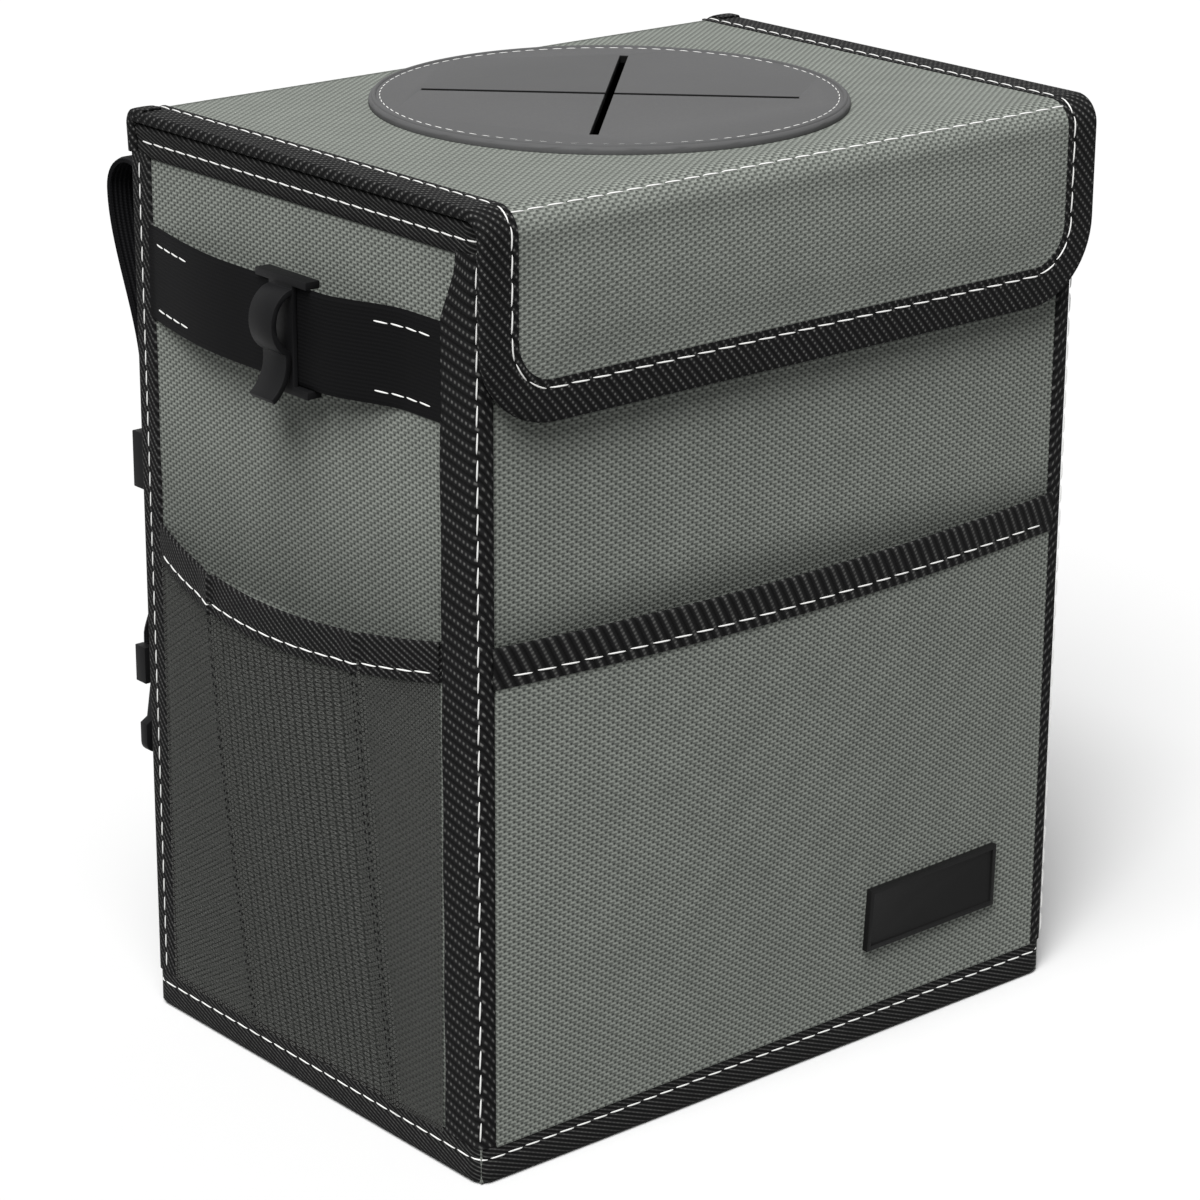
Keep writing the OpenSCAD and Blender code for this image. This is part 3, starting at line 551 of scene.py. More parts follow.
spot, flat = profile_rule(back_line, lambda k: HALF_W, back_puff)
back_cloth = cloth_sheet("back_cloth", 60, len(back_line) - 1, spot, flat, 0.8 * MM, OXFORD,
                         (0, 1, 0), LINING)
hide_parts("back_panel")
print("wall cloth points:", len(front_wall.data.vertices), len(back_cloth.data.vertices))

# %% [markdown]
# ## The lid and flap
#
# One piece of cloth covers the lid, turns over the crease and makes the flap, whose lower corners
# are round. A hole under the rubber disc lets litter through.

# %% Lid and flap cloth
CREASE_STEPS, LID_STEPS = 12, 62
CORNER_Z = FLAP_LOW + FLAP_CORNER
lid_line = [(mix(FOLD[0], CREASE[0], i / LID_STEPS), LID_TOP) for i in range(LID_STEPS)]
lid_line += [arc_point(CREASE, CREASE_R, 90 + 90 * i / CREASE_STEPS)
             for i in range(CREASE_STEPS + 1)]
lid_line += [(FLAP_Y, mix(CREASE[1], CORNER_Z, i / 12)) for i in range(1, 13)]
lid_line += [(FLAP_Y, CORNER_Z - FLAP_CORNER * math.sin(math.radians(90 * i / 16)))
             for i in range(1, 17)]
FLAP_START = LID_STEPS + CREASE_STEPS + 1


def lid_half_width(k):
    y, z = lid_line[k]
    edge = LID_HALF - 0.6 * MM
    if k < FLAP_START or z >= CORNER_Z:
        return edge
    drop = min(1.0, (CORNER_Z - z) / FLAP_CORNER)
    return edge - FLAP_CORNER * (1 - math.sqrt(max(0.0, 1 - drop * drop)))


def lid_puff(x, k):
    s = (x / LID_HALF + 1) / 2
    if k < FLAP_START - CREASE_STEPS:
        return 0.25 * MM * crown(s, 1.5) * crown(k / (FLAP_START - CREASE_STEPS)) * 0.6
    if k >= FLAP_START:
        side = lid_half_width(k) - abs(x) - 9 * MM
        low = lid_line[k][1] - FLAP_LOW - 11 * MM
        high = CREASE[1] - lid_line[k][1]
        return 0.9 * MM * smooth(side / 0.022) * smooth(low / 0.016) * smooth(high / 0.02)
    return 0.0


HOLE_R = 64 * MM


def cut_hole(piece, above, thickness):
    """Cuts the hole under the rubber disc, then gives the cloth its thickness."""
    bpy.ops.object.mode_set(mode="EDIT")
    bpy.ops.mesh.select_all(action="DESELECT")
    bpy.ops.object.mode_set(mode="OBJECT")
    for face in piece.data.polygons:
        c = face.center
        face.select = c.z > above and math.hypot(c.x, c.y) < HOLE_R
    bpy.ops.object.mode_set(mode="EDIT")
    bpy.ops.mesh.select_mode(type="FACE")
    bpy.ops.mesh.delete(type="FACE")
    bpy.ops.object.mode_set(mode="OBJECT")
    thicken(piece, thickness)


spot, flat = profile_rule(lid_line, lid_half_width, lambda x, k: -lid_puff(x, k))
lid_cloth = cloth_sheet("lid_cloth", 84, len(lid_line) - 1, spot, flat, 0, OXFORD_LID_PAINTED_LIGHT, (0, 0, 1))
cut_hole(lid_cloth, LID_TOP - 1 * MM, 0.75 * MM)
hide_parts("lid_panel", "flap_panel")
print("lid cloth faces:", len(lid_cloth.data.polygons))

# %% [markdown]
# ## Pockets
#
# The front pocket is a flat cloth whose mouth stands off the box. The two net pockets stand off
# further, and each has two pleats: laps of net that are sewn down at the floor and open upwards.

# %% Pockets
POCKET_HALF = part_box("front_pocket")[1].x
POCKET_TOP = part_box("front_pocket_binding")[1].z
SEAM = 0.6 * MM
POCKET_BOW, POCKET_BELLY = 8 * MM, 1.5 * MM


def pocket_depth(s, z):
    up = max(0.0, z - HEM_TOP) / (POCKET_TOP - HEM_TOP)
    arch = 1 - (2 * s - 1) ** 2
    return SEAM + arch * (POCKET_BOW * up ** 1.3 + POCKET_BELLY * math.sin(math.pi * min(1, up)))


def pocket_spot(s, t):
    x, z = mix(-POCKET_HALF, POCKET_HALF, s), mix(HEM_TOP - 1.0 * MM, POCKET_TOP - 0.8 * MM, t)
    wrinkle = 0.22 * MM * ripple(x * 8, z * 9, 2) * crown(s) * smooth(t * 3)
    return x, -HALF_D - pocket_depth(s, z) - 0.85 * MM - wrinkle, z


pocket = cloth_sheet("front_pocket_cloth", 80, 56, pocket_spot,
                     wall_flat(2 * POCKET_HALF, POCKET_TOP - HEM_TOP), 0.8 * MM, OXFORD, (0, -1, 0))
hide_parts("front_pocket")

NET_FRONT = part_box("right_mesh_pocket")[0].y
NET_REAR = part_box("right_mesh_pocket")[1].y
NET_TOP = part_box("right_mesh_binding")[1].z
NET_L = NET_REAR - NET_FRONT
NET_BOW, NET_BELLY, NET_SAG = 11 * MM, 2 * MM, 5 * MM
PLEAT_FRONT, PLEAT_REAR, PLEAT_LEAN = -38 * MM, 32 * MM, 7.5 * MM
PLEAT_EDGE, PLEAT_W, PLEAT_STEP = 0.9 * MM, 8.8 * MM, 1.4 * MM


def net_lines(up):
    """Where the net's front edge, the lines of its two pleats and its rear edge lie."""
    lean = PLEAT_LEAN * (1 - up)
    a, b = PLEAT_FRONT - lean, PLEAT_REAR - lean
    return [NET_FRONT, a, a + PLEAT_EDGE, a + PLEAT_W, b, b + PLEAT_EDGE, b + PLEAT_W, NET_REAR]


NET_BREAKS = [0, 0.36, 0.38, 0.44, 0.62, 0.64, 0.70, 1]
NET_LAP = [0, 0, 1, 0, 0, 1, 0, 0]
PLEAT_SEAMS = (0.385, 0.40, 0.645, 0.66)


def net_depth(s, up):
    y = float(np.interp(s, NET_BREAKS, net_lines(up)))
    lap = float(np.interp(s, NET_BREAKS, NET_LAP)) * PLEAT_STEP
    across = 1 - (2 * (y - NET_FRONT) / NET_L - 1) ** 2
    up = max(0, up)
    bow = NET_BOW * up ** 1.2 + NET_BELLY * math.sin(math.pi * min(1, up))
    sag = NET_SAG * across * up ** 3
    return y, SEAM + across * bow + lap, sag


def net_spot(sign):
    def spot(s, t):
        z = mix(HEM_TOP - 1 * MM, NET_TOP - 0.8 * MM, t)
        up = (z - HEM_TOP) / (NET_TOP - HEM_TOP)
        y, depth, sag = net_depth(s, up)
        wave = 0.35 * MM * ripple(y * 9, z * 8, 3 + sign) * crown((y - NET_FRONT) / NET_L)
        return sign * (HALF_W + depth + 0.7 * MM + wave * smooth(t * 2)), y, z - sag
    return spot


net_flat = wall_flat(NET_L, NET_TOP - HEM_TOP)
nets = {}
for side, sign in SIDES:
    net = cloth_sheet(side + "_net", 100, 40, net_spot(sign), net_flat, 0, NET, (sign, 0, 0))
    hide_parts(side + "_mesh_pocket")
    nets[side] = net

# %% [markdown]
# ## Tape
#
# A binding is a strip folded round an edge. Its course is a list of stations, each with a point on
# the edge, the way out past the edge and the way off the cloth's face. One short profile in those
# two directions is then carried along the course.

# %% Tape along an edge


def tape(name, course, profile, finish, thickness=0.45 * MM, strip_flat=None):
    stations = len(course)
    points = [[Vector(p) + Vector(o) * a + Vector(n) * b for a, b in profile] for p, o, n in course]
    across = line_lengths(profile)
    run = vector_lengths([Vector(p) for p, _, _ in course])
    count = len(profile)

    def spot(s, t):
        return points[round(t * (stations - 1))][round(s * (count - 1))]

    def flat(s, t):
        j, k = round(s * (count - 1)), round(t * (stations - 1))
        return strip_flat(across[j], k) if strip_flat else (across[j], run[k])
    return cloth_sheet(name, count - 1, stations - 1, spot, flat, thickness, finish,
                       course[stations // 2][2])


def fill(course, step):
    """Adds stations between those that are further apart than step, evenly."""
    dense = []
    for (a, out, n), (b, _, n2) in zip(course, course[1:]):
        count = max(1, round((b - a).length / step))
        dense += [(a.lerp(b, i / count), out, n.lerp(n2, i / count).normalized())
                  for i in range(count)]
    return dense + [course[-1]]


def course_along(points, out, off, step=3 * MM):
    """Stations along straight stretches between the points, a few millimetres apart."""
    return fill([(Vector(p), Vector(out), Vector(off)) for p in points], step)


def folded_profile(half, leg, groove=None, puff=0.2 * MM):
    """Both legs of a folded tape, from the edge of the front leg to the edge of the back leg."""
    front = []
    steps = 11
    for i in range(steps + 1):
        o = -leg + leg * i / steps
        n = half + puff * crown(min(0.999, (i + 0.15) / (steps + 0.6)), 0.5)
        if groove is not None and abs(o + groove) < leg / steps * 0.75:
            n -= puff * 1.3
        front.append((o, n))
    side = [(0.45 * MM, half * 0.72), (0.62 * MM, 0.0), (0.45 * MM, -half * 0.72)]
    back = [(o, -n) for o, n in reversed(front)]
    return front + side + back


# %% [markdown]
# ## Stitches
#
# A row of stitches is one short rounded thread, copied along the tape. Each copy dips at its ends
# as if pulled through the cloth.

# %% Stitches
SLANT = 0.05


def thread_shape():
    pick()
    bpy.ops.mesh.primitive_uv_sphere_add(segments=7, ring_count=8, radius=1)
    ball = bpy.context.object
    verts = np.array([v.co[:] for v in ball.data.vertices])
    faces = [tuple(p.vertices) for p in ball.data.polygons]
    bpy.data.objects.remove(ball)
    long = np.sign(verts[:, 2]) * np.abs(verts[:, 2]) ** 0.75
    round_ = np.sqrt(np.maximum(0, 1 - np.abs(long) ** 3))
    size = np.hypot(verts[:, 0], verts[:, 1]) + 1e-9
    verts[:, 0] *= round_ / size
    verts[:, 1] *= round_ / size
    verts[:, 2] = np.round(long, 4)
    return verts, faces


THREAD_VERTS, THREAD_FACES = thread_shape()
THREAD_LEVELS = sorted(set(THREAD_VERTS[:, 2]))


def stitch_row(name, rows, length=5.6, pitch=6.5, width=0.26, finish=None):
    """rows holds lines of (point, way off the cloth); the stitches' sizes are in millimetres."""
    length, pitch, width = length * MM, pitch * MM, width * MM
    verts, faces = [], []
    for line in rows:
        spots = [Vector(p) for p, _ in line]
        run = vector_lengths(spots)
        count = max(1, int((run[-1] - length) / pitch) + 1)
        start = (run[-1] - (count - 1) * pitch) / 2

        def at(d):
            k = min(len(run) - 2, max(0, int(np.searchsorted(run, d)) - 1))
            f = (d - run[k]) / max(1e-9, run[k + 1] - run[k])
            off = Vector(line[k][1]).lerp(Vector(line[k + 1][1]), min(1, max(0, f)))
            return spots[k].lerp(spots[k + 1], f), off.normalized()
        for i in range(count):
            d = start + i * pitch
            off = at(d)[1]
            a, b = at(d - length / 2)[0], at(d + length / 2)[0]
            along = (b - a).normalized()
            across = along.cross(off).normalized()
            base = len(verts)
            levels = {vz: at(d + vz * length / 2)[0] for vz in THREAD_LEVELS}
            for vx, vy, vz in THREAD_VERTS:
                dip = -0.25 * MM * abs(vz) ** 5
                side = vx * width + vz * SLANT * length / 2
                verts.append(levels[vz] + across * side + off * (vy * width * 0.8 + dip))
            faces += [tuple(base + j for j in f) for f in THREAD_FACES]
    mesh = bpy.data.meshes.new(name)
    mesh.from_pydata([tuple(v) for v in verts], [], faces)
    piece = bpy.data.objects.new(name, mesh)
    bpy.context.scene.collection.objects.link(piece)
    pick(piece)
    bpy.ops.object.shade_smooth()
    mesh.materials.append(finish or THREAD)
    return piece


def seam(course, o, n):
    return [(Vector(p) + Vector(out) * o + Vector(off) * n, Vector(off)) for p, out, off in course]


# %% [markdown]
# ## The tape round the lid and flap
#
# This is one strip. It runs from the rear of the lid, over the crease, down the flap, round its two
# lower corners and back up the other side.

# %% Lid tape
MID = LID_THICK / 2
LEG = 11.8 * MM
SEAM_IN = 9.4 * MM
TOP_STATIONS = 46


def lid_course():
    left = [(Vector((-LID_HALF, y, LID_TOP - MID)), Vector((-1, 0, 0)), UP)
            for y in np.linspace(FOLD[0] + 1.5 * MM, CREASE[0], TOP_STATIONS)]
    for i in range(1, 13):
        off = turned(90 + 7.5 * i)
        at = Vector((-LID_HALF, CREASE[0], CREASE[1])) + off * (CREASE_R - MID)
        left.append((at, Vector((-1, 0, 0)), off))
    front = Vector((0, -1, 0))
    y = FLAP_Y + MID
    for z in np.linspace(CREASE[1], CORNER_Z, 9)[1:]:
        left.append((Vector((-LID_HALF, y, z)), Vector((-1, 0, 0)), front))
    centre = Vector((-(LID_HALF - FLAP_CORNER), y, CORNER_Z))
    for i in range(1, 15):
        a = math.radians(180 + 90 * i / 14)
        out = Vector((math.cos(a), 0, math.sin(a)))
        left.append((centre + out * FLAP_CORNER, out, front))
    across = Vector((-1, 1, 1))
    flipped = [(p * across, o * across, n) for p, o, n in reversed(left)]
    bottom = course_along([left[-1][0], flipped[0][0]], (0, 0, -1), front, 4 * MM)[1:-1]
    return left + bottom + flipped


lid_edge = lid_course()


def lid_tape_flat(across, k):
    """The twill lies on the lid as it would on one flat cloth, also round the flap's corners."""
    p, o, n = lid_edge[k]
    if n.z > 0.999:
        down = -p.y
    elif n.z > 0.001:
        down = -CREASE[0] + CREASE_R * math.acos(n.z)
    else:
        down = -CREASE[0] + CREASE_R * math.pi / 2 + CREASE[1] - p.z
    return p.x + o.x * (across - LEG), down - o.z * (across - LEG)


lid_tape = tape("lid_edge_tape", lid_edge, folded_profile(MID + 0.25 * MM, LEG, SEAM_IN),
                TWILL_LID, strip_flat=lid_tape_flat)
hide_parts("lid_binding_left", "lid_binding_right", "flap_binding")
lid_seam = seam(lid_edge, -SEAM_IN, MID + 0.42 * MM)
lid_stitches = stitch_row("lid_tape_stitches", [lid_seam[:TOP_STATIONS], lid_seam[-TOP_STATIONS:]],
                          length=5.1, pitch=5.8)
flap_stitches = stitch_row("flap_tape_stitches", [lid_seam[TOP_STATIONS:-TOP_STATIONS]],
                           length=6.7, pitch=7.7)
CREASE_SEAM = 128
crease_at, crease_off = arc_point(CREASE, CREASE_R, CREASE_SEAM), turned(CREASE_SEAM)
crease_row = [(Vector((x, *crease_at)) + crease_off * 0.15 * MM, crease_off)
              for x in np.linspace(-108 * MM, 108 * MM, 60)]
crease_stitches = stitch_row("crease_stitches", [crease_row], length=6, pitch=7)

fold_tapes = []
for side, sign in SIDES:
    course = []
    for i in range(-3, 15):
        a = 90 - 9 * min(10, max(0, i))
        y, z = arc_point(FOLD, FOLD_R - MID + 0.4 * MM, a)
        y += min(0, i) * 1.2 * MM
        z -= max(0, i - 10) * 1.9 * MM
        at = Vector((sign * (LID_HALF - max(0, i) * 0.09 * MM), y, z))
        course.append((at, Vector((sign, 0, 0)), turned(a)))
    if sign > 0:
        course.reverse()
    fold_tapes.append(tape(side + "_fold_tape", course,
                           folded_profile(MID + 0.5 * MM, 7 * MM, None, 0.25 * MM), TWILL_LID))

# %% [markdown]
# ## Tape on the box
#
# The mouth's tape wraps the top of the walls on three sides. The floor's tape goes right round.
# The corner tapes cover the upright seams, and they narrow under the mouth's tape at the front.

# %% Mouth and floor tape


def round_corner(cx, cy, r, start, end, z, steps=6):
    made = []
    for i in range(steps + 1):
        a = math.radians(mix(start, end, i / steps))
        off = Vector((math.cos(a), math.sin(a), 0))
        made.append((Vector((cx, cy, z)) + off * r, UP, off))
    return made


RIM_R = 2.5 * MM
REAR_END = HALF_D - 4.2 * MM
LEFT_IN, RIGHT_IN, FRONT_IN = -HALF_W + RIM_R, HALF_W - RIM_R, -HALF_D + RIM_R
rim_edge = []
for start, end, off, corner, angle in (
        ((-HALF_W, REAR_END), (-HALF_W, FRONT_IN), (-1, 0, 0), LEFT_IN, 180),
        ((LEFT_IN, -HALF_D), (RIGHT_IN, -HALF_D), (0, -1, 0), RIGHT_IN, 270),
        ((HALF_W, FRONT_IN), (HALF_W, REAR_END), (1, 0, 0), None, None)):
    rim_edge += course_along([(*start, RIM_TOP), (*end, RIM_TOP)], UP, off)[bool(rim_edge):]
    if corner:
        rim_edge += round_corner(corner, FRONT_IN, RIM_R, angle, angle + 90, RIM_TOP)[1:]
RIM_H = RIM_TOP - RIM_LOW
rim_profile = [(-RIM_H, 0.35 * MM), (-RIM_H + 0.4 * MM, 0.8 * MM)]
rim_profile += [(-RIM_H * share, n * MM) for share, n in (
    (0.8, 1.05), (0.62, 1.15), (0.5, 0.95), (0.38, 1.35), (0.2, 1.75))]
rim_profile += [(o * MM, n * MM) for o, n in (
    (-1.2, 1.9), (-0.35, 1.5), (0, 0.6), (0, -3.2), (-0.4, -4.2), (-1.5, -4.45))]
rim_profile.append((-RIM_H, -4.3 * MM))
rim_tape = tape("mouth_tape", rim_edge, rim_profile, TWILL_MOUTH)
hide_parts("rim_binding")
rim_stitches = stitch_row("mouth_tape_stitches", [seam(rim_edge, -RIM_H * 0.52, 1.12 * MM)],
                          length=5.1, pitch=5.7)


HEM_R = 3.5 * MM


def floor_course():
    rear_middle = (Vector((0, HALF_D, HEM_TOP)), UP, Vector((0, 1, 0)))
    course = [rear_middle]
    for angle, sx, sy in ((90, -1, 1), (180, -1, -1), (270, 1, -1), (360, 1, 1)):
        course += round_corner(sx * (HALF_W - HEM_R), sy * (HALF_D - HEM_R), HEM_R,
                               angle, angle + 90, HEM_TOP)
    course.append(rear_middle)
    return fill(course, 4 * MM)


floor_edge = floor_course()
floor_profile = [(o * MM, n * MM) for o, n in (
    (0, 0.15), (-0.3, 0.85), (-1.6, 1.25), (-3.2, 1.25), (-4.2, 1.0), (-5.2, 1.3), (-8, 1.4))]
floor_profile += [(-HEM_TOP + o * MM, n * MM) for o, n in (
    (2.2, 1.35), (1.0, 1.1), (0.25, 0.45), (0, -0.5), (0, -6))]
floor_tape = tape("floor_tape", floor_edge, floor_profile, TWILL_FLOOR)
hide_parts("bottom_binding")
floor_stitches = stitch_row("floor_tape_stitches", [seam(floor_edge, -4.2 * MM, 1.2 * MM)])
print("stations of the tapes:", len(lid_edge), len(rim_edge), len(floor_edge))

# %% Corner tapes


def corner_tape(name, sx, sy, side_w, face_w, taper):
    """Profile points run across the side face, round the corner and onto the front or back face."""
    low, high = HEM_TOP - 0.4 * MM, RIM_LOW + 1.2 * MM
    thick, bend = 0.95 * MM, 1.4 * MM

    def width_at(z):
        narrowing = smooth((z - (RIM_LOW - 24 * MM)) / (24 * MM)) if taper else 0
        return mix(side_w, 8.5 * MM, narrowing)

    def spot(s, t):
        z = mix(low, high, t)
        w = width_at(z) * (1 + 0.012 * math.sin(z * 160 + sx))
        total = w + face_w
        d = s * total
        puff = 0.35 * MM * crown(min(0.999, max(0.001, d / w)), 0.5) if d < w else 0.15 * MM
        edge = min(1.0, min(d, total - d) / (0.7 * MM))
        off = (thick + puff) * (0.25 + 0.75 * math.sqrt(edge))
        if d < w - bend:
            return sx * (HALF_W + off), sy * (HALF_D - (w - d)), z
        if d > w + bend:
            return sx * (HALF_W - (d - w)), sy * (HALF_D + off), z
        a = math.radians(90 * (d - (w - bend)) / (2 * bend))
        r = off + bend
        return (sx * (HALF_W - bend + r * math.cos(a)), sy * (HALF_D - bend + r * math.sin(a)), z)

    def flat(s, t):
        d = s * (side_w + face_w)
        return d, t * (high - low) + max(0.0, d - side_w)
    finish = TWILL_CORNER[sx * sy] if sy < 0 else TWILL_NET[sx]
    return cloth_sheet(name, 26, 70, spot, flat, 0.4 * MM, finish, (sx, 0, 0))


tapes = [rim_tape, floor_tape]
box_stitches = [rim_stitches, floor_stitches]
for row, sy, wide, face, length, pitch in (
        ("front", -1, 16 * MM, 5.4 * MM, 6.2, 7.7),
        ("rear", 1, 9.5 * MM, 3.6 * MM, 5.6, 6.4)):
    for side, sx in SIDES:
        piece = corner_tape(f"{row}_{side}_corner_tape", sx, sy, wide, face, row == "front")
        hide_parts(f"corner_binding_{row}_{side}")
        tapes.append(piece)
        if row == "front":
            x, y, off = HALF_W + 0.62 * MM, HALF_D + 0.62 * MM, Vector((sx, sy, 0)).normalized()
        else:
            x, y, off = HALF_W + 1.3 * MM, HALF_D - 4.6 * MM, Vector((sx, 0, 0))
        line = [(Vector((sx * x, sy * y, z)), off)
                for z in np.linspace(HEM_TOP + 1 * MM, RIM_LOW - 1 * MM, 60)]
        box_stitches.append(stitch_row(f"{row}_{side}_corner_stitches", [line],
                                       length=length, pitch=pitch))
print("tapes on the box:", len(tapes))

# %% Pocket tapes
POCKET_LEG, POCKET_SEAM, NET_SEAM = 11.6 * MM, 8.4 * MM, 8.6 * MM
pocket_edge = []
for s in np.linspace(0, 1, 70):
    x = mix(-POCKET_HALF - 1 * MM, POCKET_HALF + 1 * MM, s)
    y = -HALF_D - pocket_depth(s, POCKET_TOP - 2 * MM) - 0.4 * MM
    pocket_edge.append((Vector((x, y, POCKET_TOP)), UP, Vector((0, -1, 0))))
pocket_tape = tape("front_pocket_tape", pocket_edge,
                   folded_profile(0.62 * MM, POCKET_LEG, POCKET_SEAM, 0.22 * MM), TWILL_POCKET)
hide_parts("front_pocket_binding")
box_stitches.append(stitch_row("front_pocket_stitches",
                               [seam(pocket_edge[1:-1], -POCKET_SEAM, 0.85 * MM)],
                               length=6.4, pitch=7.9))
tapes.append(pocket_tape)
for side, sign in SIDES:
    course = []
    for s in np.linspace(0, 1, 90):
        y, depth, sag = net_depth(s, 1.0)
        at = Vector((sign * (HALF_W + depth + 0.3 * MM), y, NET_TOP - sag))
        course.append((at, UP, Vector((sign, 0, 0))))
    piece = tape(side + "_net_tape", course,
                 folded_profile(0.62 * MM, POCKET_LEG, NET_SEAM, 0.22 * MM), TWILL_NET[sign])
    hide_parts(side + "_mesh_binding")
    tapes.append(piece)
    box_stitches.append(stitch_row(side + "_net_stitches",
                                   [seam(course[1:-1], -NET_SEAM, 0.85 * MM)]))
    rows = []
    for across in PLEAT_SEAMS:
        line = []
        for up in np.linspace(0.02, 0.92, 60):
            y, depth, sag = net_depth(across, up)
            at = Vector((sign * (HALF_W + depth + 0.75 * MM), y, mix(HEM_TOP, NET_TOP, up) - sag))
            line.append((at, Vector((sign, 0, 0))))
        rows.append(line)
    box_stitches.append(stitch_row(side + "_pleat_stitches", rows, length=1.1, pitch=2.86,
                                   width=0.34, finish=BLACK_THREAD))

# %% [markdown]
# ## Elastic bands
#
# Each band is sewn down at both ends with two short rows of stitches and stands off the box
# between them, where the hook hangs.

# %% Elastic
BAND_LOW, BAND_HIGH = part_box("left_elastic")[0].z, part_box("left_elastic")[1].z
BAND_OFF = 8 * MM
BAND_L, BAND_W = 0.142, 0.029


def band_rise(y):
    """How far the band stands off the box: steep by the rear corner, gentle at the front."""
    front = smooth((y - (NET_FRONT + 13 * MM)) / (31 * MM))
    rear = min(1.0, max(0.0, (NET_REAR - 1 * MM - y) / (52 * MM)))
    return BAND_OFF * min(front, math.sin(math.pi / 2 * rear))


for side, sign in SIDES:
    def spot(s, t, sign=sign):
        y = mix(NET_FRONT - 1.5 * MM, NET_REAR + 1.5 * MM, s)
        z = mix(BAND_LOW, BAND_HIGH, t)
        edge = min(1.0, min(t, 1 - t) * BAND_W / (0.6 * MM))
        return sign * (HALF_W + band_rise(y) + 0.8 * MM + 0.4 * MM * math.sqrt(edge)), y, z
    band = cloth_sheet(side + "_band", 120, 30, spot, wall_flat(BAND_L - 2 * MM, BAND_W),
                       1.05 * MM, ELASTIC, (sign, 0, 0))
    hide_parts(side + "_elastic")
    fasten(band, "bin", "elastic", flat=(BAND_L, BAND_W), held="stretched",
           rests_on=[side + "_wall_cloth"])
    rows = []
    for z in (BAND_HIGH - 5 * MM, BAND_LOW + 4 * MM):
        for ends in ((NET_REAR - 3 * MM, NET_REAR - 27 * MM),
                     (NET_FRONT + 27 * MM, NET_FRONT + 1 * MM)):
            rows.append([(Vector((sign * (HALF_W + band_rise(y) + 1.35 * MM), y, z)),
                          Vector((sign, 0, 0))) for y in np.linspace(*ends, 12)])
    box_stitches.append(stitch_row(side + "_band_stitches", rows, length=4.9, pitch=5.8))
print("stitch rows on the box:", len(box_stitches))

# %% [markdown]
# ## Moulded pieces
#
# The CAD disc, hooks, patch and buckle halves are already right, so a copy of each is merged, its
# edges are softened and it is shaded smooth. The disc also gets a raised bead round its rim. It is
# sewn to the lid just inside the bead, which hides the front of that row.

# %% Moulded pieces


def moulded(name, cad, finish, edge, body, slot):
    """A copy of a rigid CAD node with softened edges."""
    piece = nodes[cad].copy()
    piece.data = nodes[cad].data.copy()
    for key in [key for key in piece.keys() if key.startswith("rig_")]:
        del piece[key]
    piece.parent = None
    piece.name = piece.data.name = name
    bpy.context.scene.collection.objects.link(piece)
    pick(piece)
    bpy.ops.object.mode_set(mode="EDIT")
    bpy.ops.mesh.select_all(action="SELECT")
    bpy.ops.mesh.remove_doubles(threshold=0.00002)
    bpy.ops.mesh.dissolve_limited(angle_limit=math.radians(1))
    bpy.ops.object.mode_set(mode="OBJECT")
    soft = piece.modifiers.new("edges", "BEVEL")
    soft.width, soft.segments, soft.limit_method = edge, 2, "ANGLE"
    soft.angle_limit = math.radians(30)
    bpy.ops.object.modifier_apply(modifier="edges")
    bpy.ops.object.shade_smooth_by_angle(angle=math.radians(35))
    piece.data.materials.clear()
    piece.data.materials.append(finish)
    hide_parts(cad)
    fasten(piece, body, slot)
    return piece


BEAD_R, DISC_SEAM_R, DISC_TOP = 70.4 * MM, 68.6 * MM, LID_TOP + 2.5 * MM
disc = moulded("slit_disc", "slit_cover", RUBBER, 0.25 * MM, "lid", "cover_rubber")
bpy.ops.mesh.primitive_torus_add(major_radius=BEAD_R, minor_radius=0.8 * MM, major_segments=180,
                                 minor_segments=12, location=(0, 0, LID_TOP + 2.2 * MM))
bead = bpy.context.active_object
bpy.ops.object.transform_apply(location=True, rotation=True, scale=True)
bpy.ops.object.shade_smooth()
bead.data.materials.append(RUBBER)
join(bead, disc)
ring = [(Vector((DISC_SEAM_R * math.cos(a), DISC_SEAM_R * math.sin(a), DISC_TOP)), UP)
        for a in np.linspace(0, math.tau, 181)]
disc_stitches = stitch_row("disc_stitches", [ring], length=3.9, pitch=4.5, width=0.15)
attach(disc_stitches, "lid")

for side in ("left", "right"):
    moulded(side + "_snap_hook", side + "_hook", PLASTIC, 0.35 * MM, side + "_hook_body",
            "hook_plastic")
moulded("bare_patch", "badge_patch", PATCH, 0.3 * MM, "bin", "patch_rubber")
for name, cad, body in (("male_buckle", "buckle_male", "bin"),
                        ("female_buckle", "buckle_female", "bin"),
                        ("webbing_slider", "strap_slider", "slider_body")):
    moulded(name, cad, PLASTIC, 0.3 * MM, body, "hook_plastic")
print("disc points:", len(disc.data.vertices))

# %% [markdown]
# ## The strap
#
# The webbing leaves a sewn patch under the mouth, bends over, comes back to the box and hangs to a
# buckle half, round whose bar its end is folded and sewn.

# %% Strap
STRAP_W = 25 * MM
STRAP_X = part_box("strap_right")[0].x + STRAP_W / 2
WALL_Y = HALF_D + 0.7 * MM
SEWN_Z, BEND_Z, FREE_Z, BAR_Z = 250, 262, 206, 116  # in millimetres


